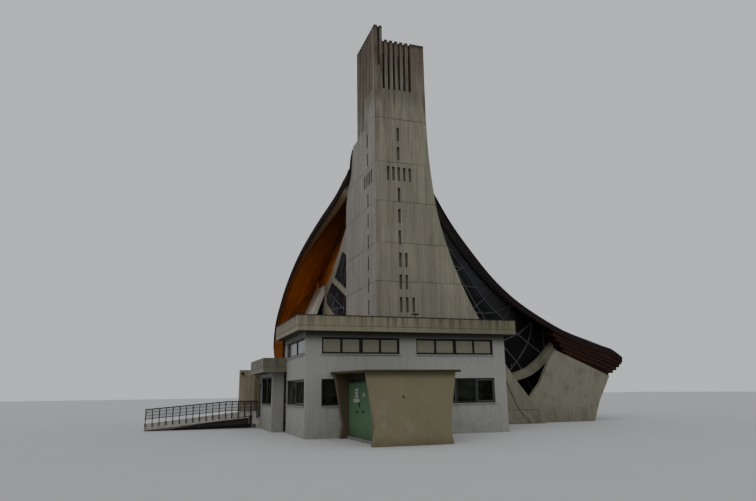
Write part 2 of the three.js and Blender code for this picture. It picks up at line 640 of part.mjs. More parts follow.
// Raking pier under the north-west tip: a thin fin that leans in to the truss.
function westPier() {
  const inside = WEST_X - GAP;
  const corners = [
    [1320, 15600, 0], [1600, 15600, 0], [640, 17250, 0], [940, 17250, 0],
    [4420, 15600, 8370], [4690, 15600, 8370], [4270, 17250, 8370], [4570, 17250, 8370],
  ];
  const geometry = new ConvexGeometry(corners.map(([x, y, z]) => new THREE.Vector3(x, y, z)));
  const fin = toSolid(geometry).intersect(block(0, inside, 15000, 18000, -10, 9000));
  const wall = block(TOWER_X[0] - GAP, 9000, NORTH_Y - GAP, 18000, -10, 9000);
  piece('west_pier', mainBody(cut(fin, [wall]).intersect(under)), 0xb9b2a2);
}

annex();
annexRoof();
porch();
link();
entrance();
towerSouth();
towerSides();
roof();
hall();
southSide();
southPier();
westSide();
westTip();
westPier();

const bounds = new THREE.Box3().setFromObject(group);
const centre = bounds.getCenter(new THREE.Vector3());
for (const mesh of group.children) {
  mesh.geometry.translate(-centre.x, -centre.y, -bounds.min.z);
}

export default group;
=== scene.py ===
# Modern church: a tall concrete tower with a flared foot, a low plaster annex and porch in front,
# and a hall under one curved timber roof. Metres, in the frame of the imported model; lengths in the
# sections are measured from the annex's front left corner at ground level.
import math

import bmesh
import bpy
import numpy as np
from mathutils import Matrix, Vector
from mathutils.kdtree import KDTree


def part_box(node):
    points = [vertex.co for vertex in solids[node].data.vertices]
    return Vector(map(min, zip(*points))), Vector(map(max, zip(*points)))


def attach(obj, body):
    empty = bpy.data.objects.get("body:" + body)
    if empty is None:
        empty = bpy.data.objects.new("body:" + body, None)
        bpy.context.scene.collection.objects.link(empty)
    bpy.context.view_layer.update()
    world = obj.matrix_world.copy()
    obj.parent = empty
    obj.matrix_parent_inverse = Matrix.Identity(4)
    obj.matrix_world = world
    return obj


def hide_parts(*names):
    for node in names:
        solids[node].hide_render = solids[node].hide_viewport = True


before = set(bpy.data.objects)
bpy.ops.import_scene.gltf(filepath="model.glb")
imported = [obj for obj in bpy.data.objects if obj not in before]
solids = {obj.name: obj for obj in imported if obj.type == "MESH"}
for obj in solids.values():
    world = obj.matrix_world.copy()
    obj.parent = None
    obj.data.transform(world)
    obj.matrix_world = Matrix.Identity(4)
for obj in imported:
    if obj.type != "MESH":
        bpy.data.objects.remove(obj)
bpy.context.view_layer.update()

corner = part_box("annex_west_wall")[0]


# The tower, poured in lifts against upright boards and streaked by rain from its open top and its
# slits. Its four walls stand as they are and get the board-marked concrete.
class Line:
    """A value that varies over a finish; sums and products of lines add Math nodes."""

    def __init__(self, finish, socket):
        self.finish = finish
        self.socket = socket

    def __add__(self, other):
        return self.finish.maths("ADD", self, other)

    def __sub__(self, other):
        return self.finish.maths("SUBTRACT", self, other)

    def __rsub__(self, other):
        return self.finish.maths("SUBTRACT", other, self)

    def __mul__(self, other):
        return self.finish.maths("MULTIPLY", self, other)

    def __truediv__(self, other):
        return self.finish.maths("DIVIDE", self, other)

    __radd__ = __add__
    __rmul__ = __mul__


class Finish:
    """One finish being mixed: its shader, and the place on the building in metres."""

    def __init__(self, name, roughness=0.85, metallic=0.0, mirror=0.5):
        self.material = bpy.data.materials.new(name)
        self.material.use_nodes = True
        self.tree = self.material.node_tree
        self.shader = self.tree.nodes["Principled BSDF"]
        self.shader.inputs["Roughness"].default_value = roughness
        self.shader.inputs["Metallic"].default_value = metallic
        self.shader.inputs["Specular IOR Level"].default_value = mirror
        spot = self.node("ShaderNodeTexCoord", out="Object")
        self.facing = self.axes(Line(self, spot.socket.node.outputs["Normal"]))
        self.place = self.node("ShaderNodeVectorMath", {"operation": "SUBTRACT"},
                               {0: spot, 1: corner})
        self.x, self.y, self.z = self.axes(self.place)

    def node(self, kind, settings=None, values=None, out=0):
        made = self.tree.nodes.new(kind)
        for key, value in (settings or {}).items():
            setattr(made, key, value)
        for key, value in (values or {}).items():
            self.feed(made.inputs[key], value)
        return Line(self, made.outputs[out])

    def feed(self, socket, value):
        if isinstance(value, Line):
            self.tree.links.new(value.socket, socket)
        elif socket.type == "RGBA":
            socket.default_value = (*value, 1)
        else:
            socket.default_value = value

    def axes(self, vector):
        split = self.node("ShaderNodeSeparateXYZ", {}, {0: vector})
        return [Line(self, socket) for socket in split.socket.node.outputs]

    def maths(self, operation, *values):
        return self.node("ShaderNodeMath", {"operation": operation}, dict(enumerate(values)))

    def step(self, value, low, high):
        """0 below low, 1 above high, smooth between; high below low turns it round."""
        return self.node("ShaderNodeMapRange", {"interpolation_type": "SMOOTHSTEP"},
                         {0: value, 1: low, 2: high})

    def near(self, value, centre, half):
        """1 close to the centre, 0 from half that width on."""
        return self.step(self.maths("ABSOLUTE", value - centre), half, half * 0.4)

    def cloud(self, size, tall=1, detail=4.0, rough=0.55):
        """Soft blotches about that many metres across, and that many times as tall."""
        spot = self.node("ShaderNodeVectorMath", {"operation": "MULTIPLY"},
                         {0: self.place, 1: (1 / size, 1 / size, 1 / (size * tall))})
        return self.node("ShaderNodeTexNoise", {},
                         {"Vector": spot, "Scale": 1.0, "Detail": detail, "Roughness": rough})

    def toss(self, index):
        """A random value for each whole number."""
        return self.node("ShaderNodeTexWhiteNoise", {"noise_dimensions": "1D"}, {"W": index})

    def mix(self, first, second, share):
        return self.node("ShaderNodeMix", {"data_type": "RGBA"},
                         {0: share, 6: first, 7: second}, out=2)

    def seam(self, run, inner, outer):
        """1 along the joints between boards, where run counts the boards."""
        return self.step(self.maths("ABSOLUTE", self.maths("FRACT", run) - 0.5), inner, outer)

    def figure(self, *place):
        """The wood's figure, over a place whose numbers are drawn out along the board."""
        spot = self.node("ShaderNodeCombineXYZ", {}, dict(enumerate(place)))
        return self.node("ShaderNodeTexNoise", {}, {"Vector": spot, "Scale": 1.0, "Detail": 4.0})

    def turned(self, axis):
        """1 where the surface looks left (0), to the front (1) or down (2)."""
        return self.step(self.facing[axis], -0.5, -0.9)

    def shade(self, colour, amount):
        """The colour times a varying amount."""
        return self.node("ShaderNodeVectorMath", {"operation": "SCALE"},
                         {0: colour, "Scale": amount})

    def coat(self, colour, height=None, depth=0.01, roughness=None):
        """The material, with this colour and a relief of that many metres."""
        self.feed(self.shader.inputs["Base Color"], colour)
        if roughness is not None:
            self.feed(self.shader.inputs["Roughness"], roughness)
        if height is not None:
            relief = self.node("ShaderNodeBump", {}, {"Height": height, "Distance": depth})
            self.feed(self.shader.inputs["Normal"], relief)
        return self.material


def dress(material, *names):
    """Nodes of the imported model, with this finish in place of their own."""
    for name in names:
        solids[name].data.materials.clear()
        solids[name].data.materials.append(material)


LIFTS = (18.7, 15.25, 12.87, 10.81, 8.7, 6.78, 4.7, 2.7, 0.65)
BELL_FLOOR = 16.4
CROWN_FOOT = 15.9
LEFT_TOP, TOP_DROP = 20.52, 0.78


def board_concrete(name, stone, board=0.125, lifts=LIFTS, slits=True, painted_shade_from=None):
    """Concrete poured against upright boards, with the joints between lifts."""
    f = Finish(name, 0.88, 0.0, 0.3)
    west, front = f.turned(0), f.turned(1)
    run = (f.x + f.y) / board
    if slits:
        lean = f.step(f.x, 8.4, 9.4) * front * 0.72 / board
        run = run + f.maths("MINIMUM", f.z - 4.5, 0.0) * lean
    index = f.maths("FLOOR", run)
    edge = f.seam(run, 0.4, 0.49)
    wander = f.z + (f.cloud(0.9, detail=2) - 0.5) * 0.06
    joints = 0.0
    pour = 0.0
    for height in lifts:
        line = f.near(wander, height, 0.038)
        if height > 18:
            line = line * f.step(f.x, 6.5, 6.52) * front
        joints = f.maths("MAXIMUM", line, joints)
        pour = f.maths("GREATER_THAN", wander, height) + pour
    joints = joints * (f.step(f.cloud(0.7, detail=3), 0.35, 0.6) * 0.6 + 0.4)
    board_tone = f.toss(index + pour * 17.0)
    pour_tone = f.toss(pour + 3.0)
    streak = f.step(f.cloud(0.13, 26, 5, 0.62), 0.46, 0.66)
    fine = f.cloud(0.045, 16, 4, 0.7)
    speck = f.step(f.cloud(0.05, 2.2, 3, 0.7), 0.6, 0.7)
    blotch = f.cloud(1.6, 1.8, 4)
    high = f.step(f.z, 10.0, 17.0)
    low = f.step(f.z, 1.2, 0.0)
    dirt = streak * (high * 0.38 + 0.2) + speck * 0.12
    dark = 0.0
    if slits:
        crown = f.step(f.z + f.cloud(0.25, 5, 4, 0.7) * 2.4, 17.6, 20.4)
        drip = f.step(f.cloud(0.1, 22, 4, 0.65), 0.42, 0.6)
        dirt = dirt + crown * (drip * 0.42 + 0.2)
        under_slots = f.step(f.z, 15.2, 16.9) * f.step(f.z, 17.5, 16.9)
        dirt = dirt + under_slots * drip * 0.3
        for centre, wide, foot, head in ((5.52, 0.85, 10.4, 12.0), (5.52, 0.12, 5.0, 14.6),
                                         (5.86, 0.12, 3.2, 8.0)):
            band = f.near(f.x, centre, wide) * front
            tall = f.step(f.z, foot - 0.8, foot) * f.step(f.z, head + 0.1, head)
            dirt = dirt + band * tall * drip * 0.16
        # Shade inside the crown's slots: the backs of those in front, the backs of those on the
        # left, and the cheeks of the left ones.
        belfry = f.step(f.z, BELL_FLOOR, BELL_FLOOR + 0.1)
        slot = front * f.step(f.y, 4.45, 4.47) * f.step(f.y, 4.8, 4.75)
        slot = slot * (belfry * f.step(f.z, 19.06, 18.98) * 0.85 + 0.02)
        first = f.near(f.x, 4.555, 0.11) * belfry * front * f.step(f.y, 4.43, 4.46)
        slot = slot * (1 - first) + first * (f.step(f.z, 19.5, 19.8) * 0.55 + 0.2)
        groove = west * f.step(f.x, 4.35, 4.37) * f.step(f.x, 4.9, 4.85)
        groove = groove * (belfry * 0.42 + 0.5)
        cheek = front * f.step(f.x, 4.322, 4.335) * f.step(f.x, 4.78, 4.74)
        cheek = cheek * f.step(f.y, 4.79, 4.82) * (0.8 - belfry * 0.28)
        dark = f.maths("MINIMUM", slot + groove + cheek, 0.92)
    amount = (board_tone * 0.16 + 0.93) * (pour_tone * 0.1 + 0.96) * (blotch * 0.5 + 0.77)
    amount = amount * (1 - edge * 0.2) * (1 - joints * 0.36) * (fine * 0.64 + 0.74)
    # The left face below the crown takes a lighter, bluer copy of the stone: painted light on the
    # side the light falls on.
    lit_west_stone = tuple(part * shift for part, shift in zip(stone, (1.15, 1.14, 1.33)))
    crown_part = f.step(f.z, CROWN_FOOT, CROWN_FOOT + 0.7)
    base = f.mix(stone, lit_west_stone, west * (1 - crown_part))
    brown = f.mix((0.052, 0.044, 0.032), (0.09, 0.066, 0.046), f.cloud(0.5, 4))
    worn = f.mix(base, brown, f.maths("MINIMUM", dirt, 0.85))
    if slits:
        pink = f.step(f.cloud(0.6, 3), 0.36, 0.6)
        worn = f.mix(worn, (0.2, 0.138, 0.098), crown * pink * 0.6)
        top = f.step(f.x, 4.8, 4.83) * -TOP_DROP + LEFT_TOP
        cap = f.step(top - f.z + f.cloud(0.2) * 0.2, 0.42, 0.12)
        worn = f.mix(worn, (0.03, 0.023, 0.016), cap * 0.8)
        # The crown is made darker, less so on its left face: painted light on that side.
        amount = amount * (1 - crown_part * (0.22 - west * 0.12))
    green = f.mix(worn, (0.06, 0.064, 0.034), low * f.step(f.cloud(0.5), 0.4, 0.7) * 0.6)
    green = f.mix(green, (0.012, 0.01, 0.007), dark)
    # Beyond that X the wall turns a darker brown: painted shade in the recess.
    if painted_shade_from is not None:
        green = f.mix(green, (0.148, 0.112, 0.066),
                      f.step(f.x, painted_shade_from - 0.03, painted_shade_from + 0.03))
    height = board_tone * 0.5 - edge * 0.7 - joints * 0.9 + fine * 0.4 + f.cloud(0.05) * 0.25
    return f.coat(f.shade(green, amount), height, 0.012)


dress(board_concrete("tower_concrete", (0.224, 0.209, 0.156)), "tower_south_wall",
      "tower_west_wall", "tower_east_wall", "tower_north_wall", "belfry_floor", "belfry_roof")


# The annex walls: smooth grey-white plaster on masonry, stained near the ground and faintly
# below the sills. The link building beside the tower has the same plaster.
def plaster(name, white, sills, grime, front_painted_light=1.0):
    f = Finish(name, 0.82, 0.0, 0.3)
    front = f.turned(1)
    blotch = f.cloud(1.4, 0.7, 5, 0.6)
    trowel = f.cloud(0.22, 0.6, 4)
    drip = f.step(f.cloud(0.1, 14, 4, 0.6), 0.5, 0.74)
    foot = f.step(f.z + f.cloud(0.35) * 0.5, 1.3, 0.25)
    below = 0.0
    for sill in sills:
        below = below + f.step(f.z, sill - 0.7, sill) * f.step(f.z, sill + 0.02, sill)
    dirt = foot * (f.step(f.cloud(0.3), 0.3, 0.7) * 0.24 + 0.05) + drip * (below * 0.3 + 0.1)
    stains_and_shade = f.mix(white, grime, dirt)
    # Painted shade under the parapet's edge: the top of the wall goes near black, more so on the
    # front.
    painted_eave_shade = f.step(f.z, 3.44, 3.84)
    stains_and_shade = f.mix(stains_and_shade, (0.016, 0.015, 0.008), painted_eave_shade * (front * 0.3 + 0.56))
    amount = (blotch * 0.2 + 0.9) * (trowel * 0.08 + 0.96)
    # Faces to the front are made lighter or darker by a set factor: painted light and shade on that
    # side.
    amount = amount * (front * (front_painted_light - 1) + 1)
    return f.coat(f.shade(stains_and_shade, amount), trowel * 0.5 + f.cloud(0.018) * 0.5, 0.004)


dress(plaster("annex_plaster", (0.314, 0.311, 0.284), (3.06, 1.16), (0.075, 0.076, 0.045)),
      "annex_front_wall", "annex_west_wall", "annex_east_wall", "annex_back_wall")
dress(plaster("link_plaster", (0.286, 0.28, 0.256), (1.12,), (0.065, 0.068, 0.048), 0.95),
      "link_walls")


# Flat roofs of the annex and link: a deep concrete edge with a groove round it, streaked dark
# above the groove, and roofing felt with fine gravel inside the parapet.
def parapet_concrete(name, stone, shaded_front_stone, groove, top):
    f = Finish(name, 0.9, 0.0, 0.25)
    streak = f.step(f.cloud(0.14, 40, 5, 0.72), 0.44, 0.62)
    above = f.step(f.z, groove - 0.02, groove + 0.03)
    rise = f.step(f.z, groove - 0.3, top)
    tone = f.cloud(0.5, 2.5, 4, 0.6)
    # Faces to the front take a darker copy of the stone: painted shade.
    plain = f.mix(stone, shaded_front_stone, f.turned(1) * 0.8)
    stains_and_shade = f.mix(plain, (0.045, 0.042, 0.03), streak * (rise * 0.4 + above * 0.16 + 0.05))
    rust = (f.near(f.x, 4.35, 0.3) + f.near(f.x, 2.75, 0.16)) * above
    stains_and_shade = f.mix(stains_and_shade, (0.15, 0.105, 0.085), rust * f.step(tone, 0.4, 0.6) * 0.4)
    # Faces that look down go near black: painted shade under the parapet's edge.
    stains_and_shade = f.mix(stains_and_shade, (0.02, 0.018, 0.01), f.turned(2) * 0.8)
    lit = f.shade(stains_and_shade, (tone * 0.45 + 0.8) * (1.06 - f.step(f.x, 3.2, 7.0) * 0.3))
    flat = f.step(f.facing[2], 0.6, 0.9) * f.step(f.z, top - 0.02, top - 0.06)
    grit = f.cloud(0.03, detail=3)
    felt = f.shade(f.mix((0.1, 0.1, 0.095), (0.16, 0.155, 0.14), f.cloud(0.9)), grit + 0.5)
    moss = f.mix(felt, (0.06, 0.075, 0.03), f.step(f.cloud(0.6), 0.55, 0.7) * 0.7)
    return f.coat(f.mix(lit, moss, flat), grit * 0.7 + streak * 0.1, 0.006)


dress(parapet_concrete("annex_parapet", (0.235, 0.215, 0.155), (0.212, 0.194, 0.132), 4.05, 4.43),
      "annex_roof")
dress(parapet_concrete("link_parapet", (0.19, 0.184, 0.15), (0.146, 0.142, 0.098), 2.71, 3.1),
      "link_roof")


# Coping of the annex: sheet metal folded over the parapet and clipped down along both edges,
# dark brown paint under dust and a little rust.
def dull_metal(name, paint, roughness=0.5, rust=0.25):
    f = Finish(name, roughness, 0.2, 0.3)
    patch = f.step(f.cloud(0.3, 1, 5, 0.65), 0.5, 0.72)
    worn = f.mix(paint, (0.055, 0.03, 0.018), patch * rust)
    dust = f.step(f.facing[2], 0.3, 1.0) * 0.25
    colour = f.mix(worn, (0.16, 0.15, 0.13), dust * f.cloud(0.12))
    return f.coat(f.shade(colour, f.cloud(0.5) * 0.5 + 0.75), f.cloud(0.02), 0.0008,
                  patch * 0.25 + roughness)


dress(dull_metal("coping_metal", (0.022, 0.017, 0.012), 0.6), "annex_coping")


# Windows of the annex and link: dull dark metal frames with one pane in each bay, a bead round
# the glass and a folded metal sill that throws rain clear of the plaster.
def put(name, data):
    """A new object that shows the data."""
    made = bpy.data.objects.new(name, data)
    bpy.context.scene.collection.objects.link(made)
    return made


def bare_piece(name, finish, slot_name, mesh, *replaced, body="building"):
    """A new piece from a bmesh, in place, riding its body."""
    data = bpy.data.meshes.new(name)
    bmesh.ops.recalc_face_normals(mesh, faces=mesh.faces)
    mesh.to_mesh(data)
    mesh.free()
    data.materials.append(finish)
    piece = put(name, data)
    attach(piece, body)
    if replaced:
        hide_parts(*replaced)
    return piece


def soften(piece, width, segments=1):
    bevel = piece.modifiers.new("worn_edges", "BEVEL")
    bevel.width = width
    bevel.segments = segments
    bevel.limit_method = "ANGLE"
    bevel.angle_limit = math.radians(40)
    return piece


def skin(mesh, rings):
    """A closed body through rings of places, measured from the annex corner."""
    rings = [[mesh.verts.new(corner + Vector(spot)) for spot in ring] for ring in rings]
    mesh.faces.new(rings[0])
    mesh.faces.new(rings[-1][::-1])
    for a, b in zip(rings, rings[1:]):
        for k in range(len(a)):
            n = (k + 1) % len(a)
            mesh.faces.new((a[k], b[k], b[n], a[n]))
    return rings


def add_block(mesh, low, high, turn=Vector):
    """A rectangular part between two corners; turn moves its places onto another wall."""
    ring = ((low[0], low[1]), (high[0], low[1]), (high[0], high[1]), (low[0], high[1]))
    skin(mesh, [[turn((x, y, z)) for x, y in ring] for z in (low[2], high[2])])


def add_border(mesh, along, up, wide, deep, turn):
    """Four parts round a rectangle: foot and head run across, the sides stand between them."""
    (left, right), (foot, head) = along, up
    for a, b, c, d in ((left, right, foot, foot + wide), (left, right, head - wide, head),
                       (left, left + wide, foot + wide, head - wide),
                       (right - wide, right, foot + wide, head - wide)):
        add_block(mesh, (a, deep[0], c), (b, deep[1], d), turn)


def window_glass(name, deep, pale, share, mirror=0.22):
    """Glass over a dim room, with soft paler patches where it catches the light."""
    f = Finish(name, 0.06, 0.0, mirror)
    cloud = f.cloud(1.44, 0.5, 5, 0.62)
    patches = f.step(cloud, 0.42, 0.62)
    lower = f.step(f.cloud(0.35, 0.7, 4), 0.45, 0.7)
    colour = f.mix(deep, pale, patches * share + lower * 0.15)
    film = f.cloud(0.05, detail=3)
    return f.coat(f.shade(colour, film * 0.2 + 0.9), f.cloud(0.7, detail=1), 0.0015,
                  film * 0.1 + 0.03)


frame_paint = dull_metal("window_frame_paint", (0.01, 0.008, 0.005), 0.5, 0.12)
casing_paint = dull_metal("window_casing_paint", (0.024, 0.025, 0.024), 0.5, 0.08)
sash_paint = dull_metal("window_sash_paint", (0.062, 0.064, 0.061), 0.5, 0.08)
sill_metal = dull_metal("sill_metal", (0.27, 0.262, 0.236), 0.55, 0.12)
upper_glass = window_glass("upper_glass", (0.215, 0.21, 0.142), (0.262, 0.262, 0.205), 0.5)
lower_glass = window_glass("lower_glass", (0.005, 0.006, 0.004), (0.026, 0.03, 0.018), 0.9, 0.03)
link_glass = window_glass("link_glass", (0.012, 0.013, 0.01), (0.04, 0.041, 0.032), 0.8, 0.0)
side_upper_glass = window_glass("side_upper_glass", (0.2, 0.206, 0.2), (0.275, 0.282, 0.278),
                                0.6, 0.05)
side_lower_glass = window_glass("side_lower_glass", (0.024, 0.026, 0.02), (0.066, 0.07, 0.056),
                                0.8, 0.0)


RIM, POST, HEAVY_POST = 0.055, 0.028, 0.055
BEAD, SASH, SASH_INSET, REBATE = 0.014, 0.065, 0.03, 0.006
FRAME_NEAR, FRAME_FAR, FIT = 0.06, 0.14, 0.0003
BEAD_DEPTHS, PANE_NEAR, PANE_FAR = (0.08, 0.094), 0.0945, 0.1025
SILL_NEAR, SILL_LIP, SILL_ENDS, SILL_THICK, SILL_DROP = -0.046, -0.04, 0.03, 0.018, 0.042


def window(node, side, start, end, sill, head, panes, glass, paint, heavy=(), sashes=()):
    """side is 'front' for a wall along X, else the X of a wall that faces left. heavy lists the
    posts that stand between two frames, sashes the bays that have an opening sash."""
    def turn(spot):
        along, deep, z = spot
        return spot if side == "front" else (side + deep, along, z)
    frame_mesh, pane_mesh, sheet = bmesh.new(), bmesh.new(), bmesh.new()
    start, end, sill, head = start + FIT, end - FIT, sill + FIT, head - FIT
    foot, top = sill + RIM, head - RIM
    bay = (end - start) / panes
    half = [RIM] + [HEAVY_POST if i in heavy else POST for i in range(1, panes)] + [RIM]
    add_border(frame_mesh, (start, end), (sill, head), RIM, (FRAME_NEAR, FRAME_FAR), turn)
    for i in range(panes):
        post = start + i * bay
        low, high = post + half[i], post + bay - half[i + 1]
        if i:
            add_block(frame_mesh, (post - half[i], FRAME_NEAR, foot), (low, FRAME_FAR, top), turn)
        add_border(frame_mesh, (low, high), (foot, top), BEAD, BEAD_DEPTHS, turn)
        add_block(pane_mesh, (low - REBATE, PANE_NEAR, foot - REBATE),
                  (high + REBATE, PANE_FAR, top + REBATE), turn)
    soften(bare_piece(node + "_frame", paint, "dark_metal", frame_mesh, node), 0.003)
    add_block(sheet, (start - SILL_ENDS, SILL_LIP, sill - SILL_THICK),
              (end + SILL_ENDS, FRAME_NEAR, sill), turn)
    add_block(sheet, (start - SILL_ENDS, SILL_NEAR, sill - SILL_DROP),
              (end + SILL_ENDS, SILL_LIP, sill), turn)
    bare_piece(node + "_sill", sill_metal, "grey_steel", sheet)
    bare_piece(node + "_panes", glass, "glass", pane_mesh)
    if sashes:
        sash_mesh = bmesh.new()
        for i in sashes:
            low = start + i * bay + SASH_INSET
            add_border(sash_mesh, (low, low + bay - 2 * SASH_INSET),
                       (sill + SASH_INSET, head - SASH_INSET), SASH,
                       (FRAME_NEAR - 0.014, FRAME_NEAR - 0.001), turn)
        soften(bare_piece(node + "_sashes", sash_paint, "grey_steel", sash_mesh), 0.003)


UPPER, LOWER = (3.06, 3.68), (1.16, 2.13)
window("front_upper_left_window", "front", 0.62, 3.74, *UPPER, 4, upper_glass, frame_paint, (2,))
window("front_upper_right_window", "front", 4.45, 7.86, *UPPER, 4, upper_glass, frame_paint, (2,))
window("front_lower_left_window", "front", 0.62, 1.44, *LOWER, 1, lower_glass, casing_paint)
window("front_lower_right_window", "front", 4.45, 7.86, *LOWER, 4, lower_glass, casing_paint,
       (2,), (1, 3))
window("west_upper_window", 0.0, 0.18, 3.8, *UPPER, 2, side_upper_glass, frame_paint)
window("west_lower_window", 0.0, 0.18, 3.8, *LOWER, 2, side_lower_glass, casing_paint, (1,), (0,))
window("link_window", -0.5, 4.66, 7.78, 1.12, 2.34, 2, link_glass, frame_paint, (1,))


# Porch: plastered walls that lean in to a waist, streaked and blooming with salt near the front,
# under a mossy concrete slab, with painted shade under the slab and in the door's recess.
f = Finish("porch_plaster", 0.86, 0.0, 0.3)
pink = f.step(f.cloud(1.1, 1.3, 3), 0.42, 0.62)
base = f.mix((0.196, 0.179, 0.104), (0.205, 0.172, 0.11), pink)
front = f.turned(1)
bloom = 0.0
for x, z, wide, tall in ((1.6, 1.14, 0.22, 0.36), (1.67, 0.66, 0.2, 0.26),
                         (2.45, 0.55, 0.3, 0.25)):
    bloom = f.maths("MAXIMUM", f.near(f.x, x, wide) * f.near(f.z, z, tall), bloom)
salt = bloom * front * f.step(f.cloud(0.16, 2, 4, 0.65), 0.42, 0.66)
damp = f.step(f.z + f.cloud(0.4) * 0.35, 0.55, 0.12)
# Painted shade at the top of the walls under the slab; it shares the dark brown of the damp and the
# streaks.
painted_slab_shade = f.step(f.z, 2.02, 2.18)
run = f.step(f.cloud(0.07, 16, 4), 0.5, 0.75)
shaded = f.mix(base, (0.235, 0.23, 0.18), salt * 0.55)
shaded = f.mix(shaded, (0.07, 0.062, 0.032), damp * 0.45 + painted_slab_shade * 0.4 + run * 0.1)
# Painted shade on the walls that face left behind the front, in the door's recess, near black at the
# head of the opening.
left = f.step(f.facing[0], -0.4, -0.9)
shaded = f.mix(shaded, (0.1, 0.08, 0.048), left * f.step(f.y, -3.9, -3.88) * 0.6)
door_head_shade = left * f.step(f.z, 2.085, 2.105) * f.step(f.x, 1.45, 1.48)
shaded = f.mix(shaded, (0.016, 0.014, 0.008), door_head_shade * 0.9)
# Painted shade and dirt on the front face of the back fin, under the slab.
fin_shade_and_dirt = f.step(f.y, -0.6, -0.5) * front
shaded = f.mix(shaded, (0.075, 0.056, 0.032), fin_shade_and_dirt * 0.9)
blotch = f.cloud(0.8, 0.8, 5, 0.6)
colour = f.shade(shaded, (blotch * 0.26 + 0.87) * (f.cloud(0.04) * 0.2 + 0.9))
dress(f.coat(colour, f.cloud(0.02) * 0.6 + f.cloud(0.2) * 0.4, 0.006), "porch_walls")

f = Finish("mossy_slab", 0.92, 0.0, 0.2)
patch = f.step(f.cloud(0.35, 0.4, 5, 0.65), 0.45, 0.62)
grit = f.cloud(0.015, detail=3)
stone = f.mix((0.07, 0.054, 0.022), (0.042, 0.034, 0.016), f.cloud(0.2, 0.5))
moss = f.mix(stone, (0.036, 0.042, 0.012), patch * 0.75)
top = f.step(f.facing[2], 0.5, 0.9)
mossy = f.mix(moss, (0.085, 0.095, 0.045), top * 0.6)
lip = f.step(f.z, 2.3, 2.315)
dress(f.coat(f.shade(f.mix(mossy, (0.1, 0.09, 0.052), lip * 0.35), grit * 0.5 + 0.75),
             grit + patch, 0.01), "porch_roof")


# Vent in the porch's front wall: a rusted collar of pressed steel with a few bars across its
# mouth, pushed into a round hole in the plaster.
def add_round(mesh, centre, radius, depth, segments=24, turn=Matrix(), end=None):
    """A round part about its middle; end is the radius of its other end, where that differs."""
    bmesh.ops.create_cone(mesh, cap_ends=True, segments=segments, radius1=radius,
                          radius2=end or radius, depth=depth,
                          matrix=Matrix.Translation(corner + Vector(centre)) @ turn)


TO_FRONT = Matrix.Rotation(math.pi / 2, 4, "X")
VENT = Vector((2.29, -4.07, 1.48))
vent_mesh = bmesh.new()
add_round(vent_mesh, VENT + Vector((0, -0.006, 0)), 0.04, 0.012, 24, TO_FRONT, 0.034)
for step in range(-2, 3):
    bar = VENT + Vector((step * 0.012, 0, 0))
    add_block(vent_mesh, bar + Vector((-0.0025, -0.017, -0.024)),
              bar + Vector((0.0025, -0.012, 0.024)))
bare_piece("porch_vent", dull_metal("vent_rust", (0.07, 0.056, 0.036), 0.7, 0.8),
           "dark_metal", vent_mesh)


# Porch door: two leaves of upright tongued boards painted dull green, hung on long pins at the
# outer edges, with cross battens inside, a lock and pull at the meeting edge.
BOARDS, GROOVE, BOARD_WIDE = 12, 0.0045, 0.1172
PIN_X, PIN, KNUCKLE = 1.618, 0.01, 0.017
f = Finish("green_door_paint", 0.55, 0.0, 0.3)
board = f.toss(f.maths("FLOOR", f.y / BOARD_WIDE))
wear = f.step(f.cloud(0.12, 6, 5, 0.65), 0.56, 0.74)
foot = f.step(f.z + f.cloud(0.2) * 0.3, 0.75, 0.15)
base = f.mix((0.068, 0.14, 0.064), (0.086, 0.17, 0.079), board)
bare = f.mix(base, (0.115, 0.12, 0.08), wear * 0.5)
dirty = f.mix(bare, (0.03, 0.035, 0.018), foot * 0.5)
# The leaves darken a little towards the top, and the top band goes dark: painted shade under the
# porch slab.
painted_head_shade = f.step(f.z, 0.9, 2.0) * 0.12 + f.step(f.z, 1.94, 1.99) * 0.8
colour = f.shade(dirty, (1 - painted_head_shade) * (f.cloud(0.03, 12) * 0.3 + 0.85))
door_paint = f.coat(colour, f.cloud(0.008, 25) + wear * 0.3, 0.002)

f = Finish("pale_enamel", 0.35)
worn = f.mix((0.36, 0.36, 0.34), (0.2, 0.19, 0.16), f.step(f.cloud(0.03), 0.55, 0.75) * 0.5)
enamel = f.coat(worn, f.cloud(0.02), 0.0005, f.cloud(0.05) * 0.2 + 0.3)
iron = dull_metal("door_iron", (0.02, 0.019, 0.018), 0.4, 0.35)


def door_leaf(node, body, low, high, hinge, meeting):
    """low and high are its edges along Y; hinge and meeting are the edges it turns at and locks."""
    leaf, fittings = bmesh.new(), bmesh.new()
    wide = (high - low) / BOARDS
    foot, head, front, back = 0.108, 2.092, 1.58, 1.602
    for i in range(BOARDS):
        a, b = low + i * wide, low + (i + 1) * wide
        shape = ((front + 0.006, a), (front, a + GROOVE), (front, b - GROOVE), (front + 0.006, b),
                 (back, b), (back, a))
        skin(leaf, [[(x, y, z) for x, y in shape] for z in (foot, head)])
    add_round(fittings, (PIN_X, hinge, 1.1), PIN, 1.998, 16)
    inward = 1 if meeting > hinge else -1
    strap = sorted((hinge + inward * 0.004, hinge + inward * 0.42))
    for z in (0.35, 1.1, 1.8):
        add_block(leaf, (back, low + 0.05, z - 0.06), (back + 0.026, high - 0.05, z + 0.06))
        add_round(fittings, (PIN_X, hinge, z + 0.12), KNUCKLE, 0.13, 20)
        add_block(fittings, (back + 0.0005, strap[0], z + 0.085),
                  (back + 0.0065, strap[1], z + 0.13))
    bare_piece(node + "_boards", door_paint, "green_boards", leaf, node, body=body)
    bare_piece(node + "_ironwork", iron, "dark_metal", fittings, body=body)


door_leaf("porch_door_front_leaf", "front_leaf", -3.14, -1.734, -3.128, -1.734)
door_leaf("porch_door_rear_leaf", "rear_leaf", -1.726, -0.32, -0.332, -1.726)


